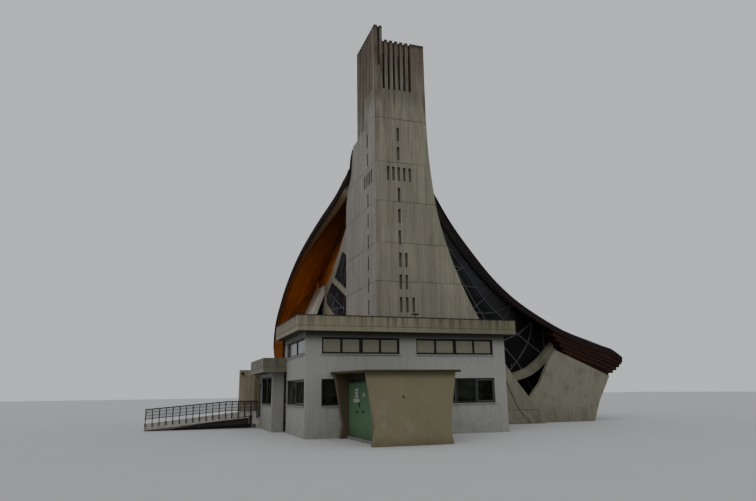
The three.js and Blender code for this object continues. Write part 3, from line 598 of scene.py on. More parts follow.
# Door fittings: a rim lock with a bent lever on the rear leaf, a shallow pull on each leaf, and the
# plates and strips that are fixed to the boards, all of them blank.
def add_oval(mesh, centre, wide, tall, deep):
    """An oval plate on the leaf's outer face, its centre given on that face."""
    turn = Matrix.Rotation(-math.pi / 2, 4, "Y") @ Matrix.Diagonal((tall / 2, wide / 2, 1, 1))
    add_round(mesh, Vector(centre) - Vector((deep / 2, 0, 0)), 1, deep, 28, turn)


lock = bmesh.new()
add_block(lock, (1.572, -1.715, 1.13), (1.58, -1.6, 1.29))
add_block(lock, (1.54, -1.68, 1.226), (1.572, -1.66, 1.244))
add_block(lock, (1.53, -1.684, 1.224), (1.542, -1.56, 1.246))
add_oval(lock, (1.572, -1.672, 1.17), 0.026, 0.034, 0.004)
soften(bare_piece("door_lock", iron, "dark_metal", lock, body="rear_leaf"), 0.002, 2)

pull_paint = dull_metal("pull_paint", (0.018, 0.036, 0.018), 0.5, 0.1)
for body, y, z in (("rear_leaf", -1.378, 0.97), ("front_leaf", -2.073, 0.99)):
    pull = bmesh.new()
    add_block(pull, (1.576, y - 0.15, z - 0.028), (1.58, y + 0.15, z + 0.028))
    for end in (-0.105, 0.105):
        add_block(pull, (1.55, y + end - 0.011, z - 0.009), (1.576, y + end + 0.011, z + 0.009))
    add_block(pull, (1.536, y - 0.125, z - 0.013), (1.55, y + 0.125, z + 0.013))
    soften(bare_piece(body + "_pull", pull_paint, "dark_metal", pull, body=body), 0.003, 2)

plates = bmesh.new()
add_block(plates, (1.577, -1.63, 1.29), (1.58, -0.93, 1.41))
for foot, head in ((1.44, 1.53), (1.56, 1.64), (1.67, 1.76)):
    add_block(plates, (1.578, -1.49, foot), (1.58, -1.11, head))
soften(bare_piece("blank_door_plates", enamel, "pale_concrete", plates, body="rear_leaf"),
       0.001)
label = bmesh.new()
add_oval(label, (1.58, -2.155, 1.55), 0.17, 0.14, 0.002)
bare_piece("blank_door_label", enamel, "pale_concrete", label, body="front_leaf")


# Floors of cement screed, landing and ramp of pale poured concrete: scuffed, damp near the ground,
# and near black below the line of the landing's kerb: painted shade under the slab.
def screed(name, pale, deep):
    f = Finish(name, 0.88)
    blotch = f.cloud(0.9, detail=5, rough=0.6)
    grit = f.cloud(0.02, detail=3)
    damp = f.step(f.z, 0.25, 0.02)
    stain = f.mix(pale, deep, f.step(blotch, 0.45, 0.7) * 0.5 + damp * 0.4)
    run = f.step(f.cloud(0.08, 12, 4), 0.5, 0.72) * f.step(f.facing[2], 0.5, 0.1)
    stain = f.mix(stain, (0.08, 0.075, 0.06), run * 0.35)
    if name == "landing_concrete":
        # Painted shade: front faces below the kerb line go near black.
        kerb = (f.x + 1.06) * 0.145 + 0.575
        painted_kerb_shade = f.step(f.z - kerb, 0.02, -0.03) * f.turned(1)
        stain = f.mix(stain, (0.014, 0.012, 0.007), painted_kerb_shade * f.step(f.x, -0.82, -0.88) * 0.94)
    return f.coat(f.shade(stain, grit * 0.3 + 0.85), grit + blotch * 0.3, 0.004)


dress(screed("floor_screed", (0.23, 0.225, 0.205), (0.13, 0.125, 0.11)),
      "annex_floor", "porch_floor", "hall_floor")
dress(screed("landing_concrete", (0.42, 0.395, 0.355), (0.24, 0.215, 0.17)), "landing", "ramp")


# Ramp railing of welded steel under dark paint: the solid's rails and posts stand as they are,
# with close-set upright bars and two thin rails welded between them.
RAMP_START, RAMP_BEND, RAMP_END = -5.7, -2.0, -0.62
RAMP_SLOPE, HAND_RAIL, BAR_STEP, BAR = 0.082, 1.28, 0.035, 0.014
BAR_Y, RAIL_NEAR, RAIL_FAR, RAIL_TALL = 7.9985, 7.995, 8.016, 0.018
railing_paint = dull_metal("railing_paint", (0.02, 0.018, 0.017), 0.5, 0.3)
dress(railing_paint, "ramp_railing")


def rail_top(x):
    """The hand rail climbs with the ramp and runs level beside the landing."""
    return HAND_RAIL + min(x - RAMP_BEND, 0) * RAMP_SLOPE


bars = bmesh.new()
for x in np.arange(RAMP_START + 0.03, RAMP_END - 0.02, BAR_STEP):
    add_block(bars, (x, BAR_Y, rail_top(x) - 0.45), (x + BAR, BAR_Y + BAR, rail_top(x) - 0.044))
for fall in (0.16, 0.31):
    skin(bars, [[(x, y, rail_top(x) - fall + lift)
                 for y, lift in ((RAIL_NEAR, 0), (RAIL_NEAR, RAIL_TALL), (RAIL_FAR, RAIL_TALL),
                                 (RAIL_FAR, 0))]
                for x in (RAMP_START + 0.02, RAMP_BEND, RAMP_END - 0.02)])
bare_piece("railing_bars", railing_paint, "dark_metal", bars)


# Entrance wall beside the ramp and the hall's far walls: the same upright-board concrete, a darker
# brown at the entrance wall's end by the link, which is painted shade in the recess.
dress(board_concrete("entrance_concrete", (0.28, 0.242, 0.172), 0.14, (2.48, 1.1), False, -0.31),
      "entrance_wall")
dress(board_concrete("hall_concrete", (0.215, 0.202, 0.16), 0.15, (2.4, 4.8, 7.2, 9.6), False),
      "hall_east_wall", "hall_north_wall")


# Piers, arch and the truss on the left: thick concrete cast smooth, cream where it is dry, with
# rain marks under every edge.
def pier_concrete(name, cream, wet):
    f = Finish(name, 0.88, 0.0, 0.3)
    blotch = f.cloud(0.55, 1.3, 5, 0.62)
    run = f.step(f.cloud(0.1, 10, 4, 0.6), 0.48, 0.72)
    foot = f.step(f.z + f.cloud(0.5) * 0.8, 1.5, 0.3)
    stain = f.mix(cream, wet, f.step(blotch, 0.45, 0.75) * 0.5 + run * 0.35 + foot * 0.35)
    holes = f.step(f.cloud(0.05, detail=2), 0.3, 0.22)
    return f.coat(f.shade(stain, f.cloud(0.03) * 0.3 + 0.85), f.cloud(0.04) - holes, 0.008)


dress(pier_concrete("pier_concrete", (0.235, 0.22, 0.165), (0.095, 0.1, 0.064)),
      "south_pier", "south_arch")
dress(pier_concrete("left_pier_concrete", (0.56, 0.53, 0.44), (0.33, 0.3, 0.22)),
      "west_pier")
dress(pier_concrete("truss_concrete", (0.27, 0.244, 0.188), (0.15, 0.128, 0.088)),
      "west_frame", "west_inner_frame")


# Roof shell: tongued boards nailed under the rafters, beside the left verge, stained orange-brown
# and open by a joint to each neighbour. Its surface is blended between four smooth edges, which run
# from the top against the tower and from the far corner to the two low tips.
TOP = (5.6, 6.8, 16.3)
LEFT_TIP = (1.62, 17.35, 3.9)
RIGHT_TIP = (18.27, 4.6, 3.22)
FAR_CORNER = (16.6, 18.3, 4.6)
RIGHT_EDGE = (TOP, (7.2, 6.35, 14.2), (8.27, 6.2, 12.0), (9.14, 6.06, 10.38),
              (10.2, 5.88, 8.81), (11.34, 5.7, 7.35), (12.42, 5.52, 6.3),
              (13.67, 5.32, 5.41), (15.25, 5.07, 4.52), (16.86, 4.82, 3.89),
              (17.69, 4.7, 3.64), RIGHT_TIP)
LEFT_EDGE = (TOP, (4.8, 7.9, 15.7), (4.3, 8.48, 14.98), (4.2, 8.8, 13.85),
             (4.05, 9.44, 13.36), (3.85, 10.07, 12.82), (3.6, 10.73, 12.32),
             (3.15, 11.86, 11.49), (2.45, 13.68, 9.93), (1.98, 15.01, 8.37),
             (1.75, 16.07, 7.11), (1.62, 17.05, 5.92), (1.57, 17.33, 4.65), LEFT_TIP)
BACK_EDGE = (LEFT_TIP, (2.6, 17.5, 5.75), (3.6, 17.75, 7.0), (4.6, 18.0, 8.4),
             (6.2, 18.5, 10.0), (9.6, 19.1, 10.2), (13.5, 19.0, 8.0),
             FAR_CORNER)
FAR_EDGE = (RIGHT_TIP, (18.1, 8.5, 4.5), (18.0, 12.0, 5.4), (17.5, 15.5, 5.6),
            FAR_CORNER)


def walked(places, axis=0):
    """How far each place is from the first, going from place to place along that axis."""
    paces = np.linalg.norm(np.diff(places, axis=axis), axis=-1)
    return np.cumsum(np.concatenate([0 * np.take(paces, [0], axis), paces], axis), axis)


def bent_line(points, shares):
    """Places at those shares of the length of a smooth line through the points."""
    p = np.array(points, float)
    p = np.vstack([2 * p[0] - p[1], p, 2 * p[-1] - p[-2]])
    track = []
    for a, b, c, d in zip(p, p[1:], p[2:], p[3:]):
        t1, t2, t3 = (math.sqrt(np.linalg.norm(gap)) for gap in (b - a, c - b, d - c))
        into = ((b - a) / t1 - (c - a) / (t1 + t2) + (c - b) / t2) * t2
        away = ((c - b) / t2 - (d - b) / (t2 + t3) + (d - c) / t3) * t2
        for t in np.linspace(0, 1, 60, endpoint=False):
            track.append((2 * t ** 3 - 3 * t ** 2 + 1) * b + (t ** 3 - 2 * t ** 2 + t) * into
                         + (3 * t ** 2 - 2 * t ** 3) * c + (t ** 3 - t ** 2) * away)
    track = np.array(track + [p[-2]])
    gone = walked(track)
    return np.stack([np.interp(np.array(shares) * gone[-1], gone, track[:, k])
                     for k in range(3)], 1)


def roof_grid(across, back):
    """Roof places for shares across (left edge to far edge) and back (right edge to back)."""
    u, v = np.array(across)[:, None, None], np.array(back)[None, :, None]
    s, n = bent_line(RIGHT_EDGE, across)[:, None], bent_line(BACK_EDGE, across)[:, None]
    w, e = bent_line(LEFT_EDGE, back)[None], bent_line(FAR_EDGE, back)[None]
    near = (1 - u) * np.array(TOP) + u * np.array(RIGHT_TIP)
    far = (1 - u) * np.array(LEFT_TIP) + u * np.array(FAR_CORNER)
    return (1 - v) * s + v * n + (1 - u) * w + u * e - (1 - v) * near - v * far


def sheet_between(name, across, back, over, under, finish, node):
    """A closed layer of the roof; over and under are heights for each grid place."""
    place = roof_grid(across, back)
    rows, columns = place.shape[:2]
    layers = []
    for lift in (over, under):
        layer = place.copy()
        layer[:, :, 2] += lift
        layers.append(layer.reshape(-1, 3))
    spots = np.vstack(layers) + np.array(corner)
    count = rows * columns
    def at(layer, i, j):
        return layer * count + i * columns + j
    faces = []
    for i in range(rows - 1):
        for j in range(columns - 1):
            square = ((i, j), (i + 1, j), (i + 1, j + 1), (i, j + 1))
            faces.append([at(0, *spot) for spot in square])
            faces.append([at(1, *spot) for spot in (square[0], *square[:0:-1])])
    def close(a, b, turned):
        ring = (at(0, *a), at(0, *b), at(1, *b), at(1, *a))
        faces.append(ring[::-1] if turned else ring)
    for i in range(rows - 1):
        close((i, 0), (i + 1, 0), True)
        close((i, columns - 1), (i + 1, columns - 1), False)
    for j in range(columns - 1):
        close((0, j), (0, j + 1), False)
        close((rows - 1, j), (rows - 1, j + 1), True)
    data = bpy.data.meshes.new(name)
    data.from_pydata(spots.tolist(), [], faces)
    first = np.array(across)[:, None] * np.ones(columns)
    grain = np.stack([walked(place), walked(place, 1), first * 24.0], 2).reshape(-1, 3)
    piece = put(name, data)
    data.materials.append(finish)
    trim_to_tower(piece)
    mark_grain(piece.data, spots, np.vstack([grain, grain]))
    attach(piece, "building")
    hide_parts(node)


def mark_grain(data, spots, grain):
    """Each point takes the distances of the nearest grid place, for the boards' finish."""
    tree = KDTree(len(spots))
    for k, spot in enumerate(spots):
        tree.insert(spot, k)
    tree.balance()
    nearest = [tree.find(vert.co)[1] for vert in data.vertices]
    mark = data.attributes.get("grain") or data.attributes.new("grain", "FLOAT_VECTOR", "POINT")
    mark.data.foreach_set("vector", grain[nearest].ravel().astype(np.float32))


TOWER_OUTLINE = ((3.9, 0.0), (9.76, 0.0), (9.76, 12.0), (9.36, 12.96), (8.78, 14.03),
                 (8.3, 15.19), (7.5, 15.19), (7.5, 20.52), (3.9, 20.52))
TOWER_LEFT, TOWER_RIGHT, TOWER_FRONT = 4.32, 7.12, 4


def trim_to_tower(piece, fit=0.0015):
    """The tower's block, drawn from the side, is cut out; the largest part that is left stays."""
    block = bmesh.new()
    skin(block, [[(x, y + (fit if y > TOWER_FRONT else 0), z) for y, z in TOWER_OUTLINE]
                 for x in (TOWER_LEFT - fit, TOWER_RIGHT + fit)])
    bmesh.ops.recalc_face_normals(block, faces=block.faces)
    data = bpy.data.meshes.new("tower_block")
    block.to_mesh(data)
    block.free()
    cutter = put("tower_block", data)
    trim = piece.modifiers.new("fitted_round_tower", "BOOLEAN")
    trim.operation = "DIFFERENCE"
    trim.object = cutter
    trim.solver = "EXACT"
    bpy.context.view_layer.update()
    done = bpy.data.meshes.new_from_object(piece.evaluated_get(
        bpy.context.evaluated_depsgraph_get()))
    piece.modifiers.clear()
    piece.data = done
    bpy.data.objects.remove(cutter)
    mesh = bmesh.new()
    mesh.from_mesh(done)
    left, groups = set(mesh.faces), []
    while left:
        group = [left.pop()]
        for face in group:
            for edge in face.edges:
                joined = left.intersection(edge.link_faces)
                left -= joined
                group.extend(joined)
        groups.append(group)
    spare = set(mesh.faces).difference(max(groups, key=len))
    bmesh.ops.delete(mesh, geom=list(spare), context="FACES")
    mesh.to_mesh(done)
    mesh.free()


def board_stain(name, light, deep, soffit=False, wide=0.25):
    f = Finish(name, 0.66, 0.0, 0.12)
    mark = f.node("ShaderNodeAttribute", {"attribute_name": "grain"}, out="Vector")
    over, along, slot_place = f.axes(mark)
    board = f.maths("FLOOR", slot_place / wide)
    tone = f.toss(board)
    butt = f.maths("FLOOR", along / 3.6 + tone * 7.0)
    piece_tone = f.toss(board * 13.0 + butt)
    figure = f.figure(over * 38.0, along * 1.6, tone * 40.0)
    base = f.mix(light, deep, piece_tone * 0.7 + f.step(figure, 0.45, 0.7) * 0.3)
    damp = f.step(f.cloud(1.3), 0.5, 0.75)
    base = f.mix(base, (0.04, 0.012, 0.003), damp * 0.25)
    if soffit:
        # Painted light and shade by height: the soffit is brightest at about 8 m, dimmer low down,
        # and falls to a tenth of that near the top.
        base = f.shade(base, f.step(f.z, 12.3, 6.5) * 1.9 + 0.1)
        base = f.shade(base, 1 - f.step(f.z, 8.3, 6.6) * 0.5)
        border = f.mix((0.3, 0.1, 0.03), (0.165, 0.116, 0.06), f.step(f.z, 8.6, 11.4))
        border = f.mix(border, (0.3, 0.25, 0.17), f.step(f.z, 12.5, 12.9))
        border = f.mix(border, (0.035, 0.028, 0.02), f.step(f.z, 12.9, 13.2))
        edge = f.step(over, 0.46, 0.42) * f.step(over, 0.08, 0.14)
        dark = f.near(over, 0.48, 0.06)
        base = f.mix(base, f.shade(border, tone * 0.3 + 0.8), edge)
        base = f.mix(base, (0.06, 0.026, 0.01), dark * 0.6)
        base = f.mix(base, (0.04, 0.03, 0.024), f.step(over, 0.1, 0.05))
        shut = f.step(along, 1.9, 1.3) * f.step(over, 3.0, 5.5)
        base = f.mix(base, (0.12, 0.114, 0.112), shut * f.step(f.x, 15.5, 13.5))
        # Painted shade: near black above 13.2 m, close to the tower.
        base = f.mix(base, (0.02, 0.016, 0.012), f.step(f.z, 13.2, 13.6))
    grey = f.step(f.facing[2], 0.2, 0.6)
    colour = f.mix(base, (0.05, 0.045, 0.04), grey)
    return f.coat(f.shade(colour, figure * 0.4 + 0.8), figure, 0.002)


def bays(count, steps):
    """Shares of the way over that many equal bays, and 0 or 1 for the level at each."""
    places = [((i + share) / count, level) for i in range(count) for share, level in steps]
    return (np.array(row, float) for row in zip(*places, (1.0, 0)))


ROOF_BOARDS, SHELL_DEEP, JOINT_DEEP = 96, 0.24, 0.02
across, groove = bays(ROOF_BOARDS, ((0.0, 0), (0.86, 0), (0.88, 1), (0.98, 1)))
back = np.linspace(0, 1, 61)
level = np.ones((len(across), len(back)))
soffit_wood = board_stain("soffit_boards", (0.5, 0.134, 0.006), (0.31, 0.073, 0.003), True)
sheet_between("roof_shell_boards", across, back, -0.002 * level,
              (-SHELL_DEEP + JOINT_DEEP * groove[:, None]) * level, soffit_wood,
              "roof_shell")


# Roof covering: dark sheet laid in bays, the joints turned up as low welts that run down from
# the tower to the far edge.
WELTS, SHEET, WELT = 34, 0.045, 0.03
f = Finish("dark_covering", 0.7)
patch = f.cloud(1.8, detail=5, rough=0.6)
grit = f.cloud(0.03, detail=3)
moss = f.step(f.cloud(0.7, detail=5), 0.55, 0.72)
base = f.mix((0.04, 0.037, 0.035), (0.075, 0.07, 0.064), patch)
base = f.mix(base, (0.055, 0.062, 0.03), moss * 0.35)
felt = f.coat(f.shade(base, grit * 0.4 + 0.8), grit, 0.003, patch * 0.2 + 0.6)
across = np.linspace(0, 1, 91)
back, raised = bays(WELTS, ((0.0, 0), (0.93, 0), (0.94, 1), (0.975, 1), (0.985, 0)))
level = np.ones((len(across), len(back)))
sheet_between("roof_covering_sheet", across, back, (SHEET + WELT * raised) * level,
              0.0003 * level, felt, "roof_covering")


# Verge and eaves boards along the roof's edges, lapped one under another and set out a little
# from the shell's cut edge, with a metal drip above them.
def edge_boards(name, points, outward, rows, finish, shares=(0.0, 1.0), rise=-0.004):
    """rows are (top, foot, thickness) below the roof's top line."""
    line = bent_line(points, np.linspace(shares[0], shares[1], 121))
    side = np.cross(np.gradient(line, axis=0), (0, 0, 1)) * outward
    side /= np.linalg.norm(side, axis=1)[:, None]
    mesh = bmesh.new()
    walk = mesh.verts.layers.float_vector.new("grain")
    for number, (top, foot, thick) in enumerate(rows):
        lifts = (top, top, foot, foot)
        rings = skin(mesh, [[spot + out * deep + np.array((0, 0, lift + rise))
                             for deep, lift in zip((0.0, thick, thick, 0.0), lifts)]
                            for spot, out in zip(line, side)])
        for ring, length in zip(rings, walked(line)):
            for vert, lift in zip(ring, lifts):
                vert[walk] = (lift, length, number * 0.25 + 0.1)
    return bare_piece(name, finish, "roof_boards", mesh)


verge_wood = board_stain("verge_boards", (0.03, 0.02, 0.017), (0.018, 0.012, 0.01))
eave_wood = board_stain("eave_boards", (0.03, 0.016, 0.012), (0.017, 0.01, 0.008))
edge_boards("right_eave_boards", RIGHT_EDGE, 1,
            ((0.0, -0.088, 0.03), (-0.08, -0.168, 0.022), (-0.16, -0.246, 0.03)),
            eave_wood, (0.14, 1.0))
plain_rows = ((0.0, -0.13, 0.03), (-0.12, -0.246, 0.02))
edge_boards("left_verge_boards", LEFT_EDGE, -1, plain_rows, verge_wood, (0.22, 1.0))
edge_boards("back_eave_boards", BACK_EDGE, -1, plain_rows, verge_wood)
edge_boards("far_eave_boards", FAR_EDGE, 1, plain_rows, verge_wood)
drip = dull_metal("edge_drip", (0.01, 0.01, 0.011), 0.6, 0.1)
for name, points, outward, shares in (
        ("right_drip", RIGHT_EDGE, 1, (0.13, 1.0)), ("left_drip", LEFT_EDGE, -1, (0.21, 1.0)),
        ("back_drip", BACK_EDGE, -1, (0.0, 1.0)), ("far_drip", FAR_EDGE, 1, (0.0, 1.0))):
    trim = edge_boards(name, points, outward, ((0.075, -0.05, 0.042),), drip, shares, 0.0)


# Boards that close the nose below the right tip, and those above the truss on the left: stained
# softwood, nailed on one above another.
def plain_boards(name, light, deep, slope, wide):
    """Boards that rise by the slope along X, or along Y in the wall that faces left."""
    f = Finish(name, 0.66, 0.0, 0.15)
    height = f.z + (f.x + f.y) * slope
    board = f.maths("FLOOR", height / wide)
    edge = f.seam(height / wide, 0.42, 0.49)
    figure = f.figure((f.x + f.y) * 1.4, height * 34.0)
    base = f.mix(light, deep, f.toss(board) * 0.8 + f.step(figure, 0.5, 0.7) * 0.2)
    colour = f.shade(base, (figure * 0.4 + 0.8) * (1 - edge * 0.5))
    if name == "gable_boards":
        # Painted light and shade on the boards that face left: about twice as bright below 8.4 m, a
        # seventh as bright above 10.9 m.
        rise = f.step(f.z, 10.9, 8.4) * 2.0 + 0.15
        colour = f.shade(colour, f.turned(0) * (rise - 1.0) + 1.0)
    return f.coat(colour, figure * 0.3 - edge, 0.008)


dress(plain_boards("nose_boards", (0.046, 0.018, 0.01), (0.024, 0.009, 0.005), 0.41, 0.15),
      "tip_boards")
dress(plain_boards("gable_boards", (0.262, 0.086, 0.016), (0.165, 0.05, 0.008), 0.0, 0.18),
      "west_boards", "west_tip_boards")


# Near-black boards that close the slot between the left pier and the truss, their colour painted
# shade: three upright planks, nailed side by side on the end of the hall's back wall.
slot_shade_boards = bmesh.new()
for x in (4.24, 4.405, 4.57):
    add_block(slot_shade_boards, (x, 16.95, 4.0), (x + 0.16, 16.985, 7.6))
painted_slot_shade = plain_boards("painted_slot_shade", (0.012, 0.009, 0.007), (0.007, 0.005, 0.004), 0.0, 0.18)
soften(bare_piece("slot_shade_boards", painted_slot_shade, "roof_boards", slot_shade_boards), 0.003)


# Glass walls of the hall: near-black panes in bays, paler close under the right eave (a bent line
# over X), where they catch light from outside.
def hall_glass(name, deep, pale, mirror, haze):
    f = Finish(name, 0.05, 0.0, mirror)
    cloud = f.cloud(3.08, 0.7143, 5, 0.6)
    colour = f.mix(deep, pale, f.step(cloud, 0.45, 0.68))
    if name == "south_hall_glass":
        eave = ((f.x * 0.0064 - 0.1021) * f.x - 1.2821) * f.x + 25.455
        close = f.step(eave - f.z, 1.5, 0.1) * f.step(f.x, 13.4, 12.2)
        colour = f.shade(colour, close * (f.step(f.x, 9.3, 8.7) * 4.2 + 2.8) + 1.0)
    return f.coat(colour, f.cloud(1.4, detail=1), 0.003, f.cloud(0.08) * 0.1 + haze)


dress(hall_glass("south_hall_glass", (0.013, 0.013, 0.013), (0.021, 0.021, 0.023), 0.02, 0.3),
      "south_glass")
dress(hall_glass("west_hall_glass", (0.02, 0.022, 0.027), (0.036, 0.04, 0.05), 0.04, 0.1),
      "west_glass")


# Lattice of flat steel bars in front of the right glass wall, bolted at the crossings and held in
# a dark rim that follows the roof boards.
def lattice_paint(name, pale, deep):
    f = Finish(name, 0.6, 0.1, 0.25)
    dust = f.cloud(0.25, 1.5, 4)
    colour = f.mix(pale, deep, f.step(dust, 0.42, 0.68))
    return f.coat(f.shade(colour, f.cloud(0.03) * 0.2 + 0.9), f.cloud(0.02), 0.0008)


def flat_bar(mesh, points, y, wide, thick):
    """A bent bar on a wall along X; points are (x, z)."""
    rings = []
    for i, (x, z) in enumerate(points):
        before, after = points[max(i - 1, 0)], points[min(i + 1, len(points) - 1)]
        ahead = Vector((after[0] - before[0], after[1] - before[1])).normalized() * wide / 2
        rings.append([(x - ahead.y * a, y + b * thick, z + ahead.x * a)
                      for a, b in ((-1, 0), (1, 0), (1, 1), (-1, 1))])
    skin(mesh, rings)


def smooth_path(points, pieces=8):
    """(x, z) places on a smooth line through the points."""
    if len(points) == 2:
        return points
    flat = [(x, 0.0, z) for x, z in points]
    count = pieces * (len(points) - 1) + 1
    return [(spot[0], spot[2]) for spot in bent_line(flat, np.linspace(0, 1, count))]


GLASS_FACE, BAR_WIDE, BAR_THICK, LAP = 6.5, 0.072, 0.03, 0.002
SHELL_UNDER, RIM_WIDE, RIM_THICK, RIM_FROM, RIM_TO = 0.272, 0.06, 0.05, 7.15, 15.9
LATTICE = (
    ((7.3, 11.9), (8.3, 10.35), (9.19, 9.11), (9.98, 8.1), (10.66, 7.14), (11.16, 6.45),
     (12.32, 5.34), (12.84, 4.81), (13.73, 4.12), (14.63, 3.47), (15.7, 2.5)),
    ((7.3, 11.4), (8.7, 9.3), (9.61, 7.86), (10.11, 7.01), (10.94, 5.68), (12.28, 3.83),
     (12.91, 3.14), (13.24, 2.66), (13.9, 1.5)),
    ((7.3, 8.6), (8.7, 6.5), (10.1, 4.5), (11.5, 2.6), (12.8, 0.7)),
    ((7.3, 8.1), (8.3, 9.05), (8.92, 9.76), (9.16, 9.92)),
    ((9.07, 9.1), (9.37, 9.07), (9.73, 9.09)),
    ((7.3, 5.9), (8.6, 6.75), (9.61, 7.92), (9.98, 8.1), (10.36, 8.46)),
    ((7.3, 9.25), (8.4, 8.5), (9.51, 8.19), (9.98, 8.1), (10.65, 8.14)),
    ((8.2, 7.7), (9.1, 7.28), (10.05, 7.12), (10.65, 7.09), (11.08, 7.19), (11.46, 7.34)),
    ((7.3, 2.6), (9.0, 4.3), (10.53, 5.94), (11.16, 6.45), (11.81, 7.03)),
    ((7.3, 7.4), (8.9, 6.15), (10.58, 5.72), (11.48, 5.7), (12.11, 5.88), (12.82, 6.18)),
    ((12.82, 6.18), (12.6, 5.78), (12.39, 5.4)),
    ((8.3, 3.3), (10.3, 3.5), (12.31, 4.26), (13.21, 4.65), (14.08, 5.27)),
    ((14.08, 5.27), (13.97, 4.72), (13.66, 4.01), (13.17, 3.36), (12.57, 2.72), (11.3, 1.7),
     (9.9, 0.7)),
    ((14.75, 4.9), (14.77, 3.58), (14.8, 0.8)))
lattice = bmesh.new()
for number, line in enumerate(LATTICE):
    flat_bar(lattice, smooth_path(line), GLASS_FACE + LAP * number, BAR_WIDE, BAR_THICK)
for x, z in ((9.98, 8.1), (11.16, 6.45), (10.1, 7.1), (12.25, 5.42), (10.94, 5.7),
             (12.3, 4.26), (13.21, 4.62), (12.6, 2.9)):
    add_round(lattice, (x, GLASS_FACE - 0.006, z), 0.062, 0.012, 20, TO_FRONT, 0.058)
lattice_steel = lattice_paint("lattice_paint", (0.082, 0.082, 0.084), (0.054, 0.055, 0.057))
bare_piece("lattice_bars", lattice_steel, "grey_steel", lattice, "south_lattice")

under_boards = []
for row in roof_grid(np.linspace(0.1, 0.97, 60), np.linspace(0, 0.3, 200)):
    if row[0, 1] < GLASS_FACE:
        x, z = (float(np.interp(GLASS_FACE, row[:, 1], row[:, k])) for k in (0, 2))
        if RIM_FROM < x < RIM_TO:
            under_boards.append((x, z - SHELL_UNDER))
rim = bmesh.new()
flat_bar(rim, under_boards, GLASS_FACE + 0.004, RIM_WIDE, RIM_THICK)
rim_paint = lattice_paint("rim_paint", (0.012, 0.011, 0.011), (0.007, 0.006, 0.006))
bare_piece("lattice_rim", rim_paint, "dark_metal", rim)


# Ties of the left truss: flat steel bars under grey paint, welded end to end across its openings
# in front of the glass.
def tie_bar(mesh, first, second, x, wide, thick):
    start, end = Vector((x, *first)), Vector((x, *second))
    out = Vector((thick / 2, 0, 0))
    up = Vector((1, 0, 0)).cross((end - start).normalized()) * wide / 2
    skin(mesh, [[spot + out * a + up * b for a, b in ((-1, -1), (1, -1), (1, 1), (-1, 1))]
                for spot in (start, end)])


TIE_X, TIE_WIDE, TIE_THICK = 4.52, 0.05, 0.026
ties = bmesh.new()
for number, (first, second) in enumerate((
        ((13.05, 8.0), (14.5, 7.02)), ((14.2, 7.68), (10.75, 6.2)),
        ((12.22, 7.5), (12.48, 6.15)), ((10.8, 7.15), (11.03, 6.05)),
        ((13.87, 6.61), (11.0, 6.38)), ((13.5, 6.66), (12.5, 7.42)),
        ((11.1, 8.95), (12.42, 8.22)), ((10.87, 9.4), (11.58, 7.9)),
        ((10.45, 8.75), (11.15, 7.56)), ((13.9, 5.98), (14.9, 6.9)))):
    tie_bar(ties, first, second, TIE_X + 0.001 * number, TIE_WIDE, TIE_THICK)
tie_paint = lattice_paint("tie_paint", (0.12, 0.122, 0.128), (0.08, 0.083, 0.088))
bare_piece("left_truss_ties", tie_paint, "grey_steel", ties)


# Rain pipes of drawn tube held by bands: a pale one with a swan neck from the link's eave, a dark
# one in the corner between annex and link, and a dark one above the link's roof.
def pipe(name, points, radius, finish, slot_name, bands):
    """bands are the heights of the bands on the last straight length."""
    curve = bpy.data.curves.new(name, "CURVE")
    curve.dimensions = "3D"
    curve.bevel_depth = radius
    curve.bevel_resolution = 4
    curve.use_fill_caps = True
    curve.materials.append(finish)
    line = curve.splines.new("BEZIER")
    line.bezier_points.add(len(points) - 1)
    spots = [Vector(spot) for spot in points]
    for k, point in enumerate(line.bezier_points):
        point.co = corner + spots[k]
        point.handle_left_type = point.handle_right_type = "FREE"
        for handle, other in (("handle_left", spots[max(k - 1, 0)]),
                              ("handle_right", spots[min(k + 1, len(spots) - 1)])):
            toward = other - spots[k]
            reach = toward.normalized() * min(0.1, toward.length / 3)
            setattr(point, handle, corner + spots[k] + reach)
    tube = put(name, curve)
    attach(tube, "building")
    rings = bmesh.new()
    for z in bands:
        add_round(rings, (*points[-1][:2], z), radius * 1.25, 0.04)
    bare_piece(name + "_bands", finish, slot_name, rings)


f = Finish("pale_pipe_paint", 0.4)
grime = f.step(f.cloud(0.12, 5, 4), 0.48, 0.72)
colour = f.mix((0.24, 0.23, 0.2), (0.1, 0.09, 0.07), grime * 0.7)
colour = f.mix(colour, (0.012, 0.01, 0.008), f.step(f.z, 2.16, 2.02) * 0.9)
pale_paint = f.coat(colour, f.cloud(0.03), 0.0008, grime * 0.2 + 0.35)
pipe_rust = dull_metal("pipe_rust", (0.01, 0.007, 0.005), 0.7, 0.3)
pipe("link_pale_pipe", ((-0.78, 7.98, 2.6), (-0.78, 7.98, 2.4), (-0.56, 7.86, 2.12),
                        (-0.56, 7.86, 0.52)), 0.04, pale_paint, "pale_concrete", (1.9, 0.9))
pipe("corner_dark_pipe", ((-0.06, 3.82, 2.52), (-0.06, 3.82, 0.06)), 0.042, pipe_rust,
     "dark_metal", (2.3, 1.3, 0.4))
pipe("upper_dark_pipe", ((-0.055, 4.36, 3.9), (-0.055, 4.36, 2.72)), 0.042, pipe_rust,
     "dark_metal", (3.7, 2.95))


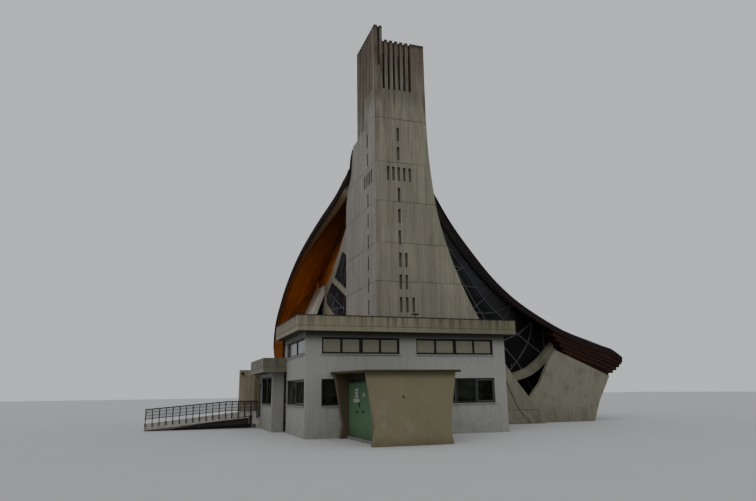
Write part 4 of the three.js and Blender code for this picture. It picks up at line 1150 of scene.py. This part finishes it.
# Small lamps in dark iron housings: one screwed to the entrance wall under a hood, and one on a
# short stem that stands on the annex coping.
lamps = bmesh.new()
for low, high in (((-1.05, 11.66, 2.63), (-0.91, 11.7803, 2.73)),
                  ((-1.03, 11.63, 2.6), (-0.93, 11.72, 2.63)),
                  ((4.22, -0.4, 4.46), (4.34, -0.3, 4.475)),
                  ((4.265, -0.365, 4.475), (4.295, -0.335, 4.56)),
                  ((4.16, -0.44, 4.56), (4.4, -0.28, 4.62))):
    add_block(lamps, low, high)
soften(bare_piece("small_lamps", iron, "dark_metal", lamps), 0.006, 2)


# Plain pale floor, soft light from above and the left, and the camera at the photo's viewpoint,
# at eye height and looking up at the roof.
FLOOR_REACH, FLOOR_Z = 150, -0.001
floor_data = bpy.data.meshes.new("floor")
floor_data.from_pydata([(x * FLOOR_REACH, y * FLOOR_REACH, FLOOR_Z)
                        for x, y in ((-1, -1), (1, -1), (1, 1), (-1, 1))], [], [(0, 1, 2, 3)])
f = Finish("pale_floor", 0.9)
floor_data.materials.append(f.coat(f.shade((0.5, 0.5, 0.49), f.cloud(3.0) * 0.06 + 0.97)))
put("floor", floor_data)

world = bpy.data.worlds.new("studio")
bpy.context.scene.world = world
world.use_nodes = True
sky = world.node_tree.nodes["Background"].inputs
sky["Color"].default_value = (0.8, 0.82, 0.86, 1)
sky["Strength"].default_value = 0.75

sun_data = bpy.data.lights.new("soft_sky_light", "SUN")
sun_data.energy = 0.5
sun_data.angle = math.radians(50)
put("soft_sky_light", sun_data).rotation_euler = (math.radians(50), 0, math.radians(-40))

EYE, FOCAL, PHOTO_WIDTH, SENSOR = Vector((-4.7, -22.2, 1.7)), 599, 756, 36
PITCH, HEADING, ROLL = (math.radians(angle) for angle in (13.12, 18.88, -0.7))
camera_data = bpy.data.cameras.new("photographer")
camera_data.sensor_width = SENSOR
camera_data.lens = FOCAL / PHOTO_WIDTH * SENSOR
camera_data.clip_end = 500
camera = put("photographer", camera_data)
camera.matrix_world = (Matrix.Translation(corner + EYE) @ Matrix.Rotation(-HEADING, 4, "Z")
                       @ Matrix.Rotation(math.pi / 2 + PITCH, 4, "X")
                       @ Matrix.Rotation(ROLL, 4, "Z"))
bpy.context.scene.camera = camera
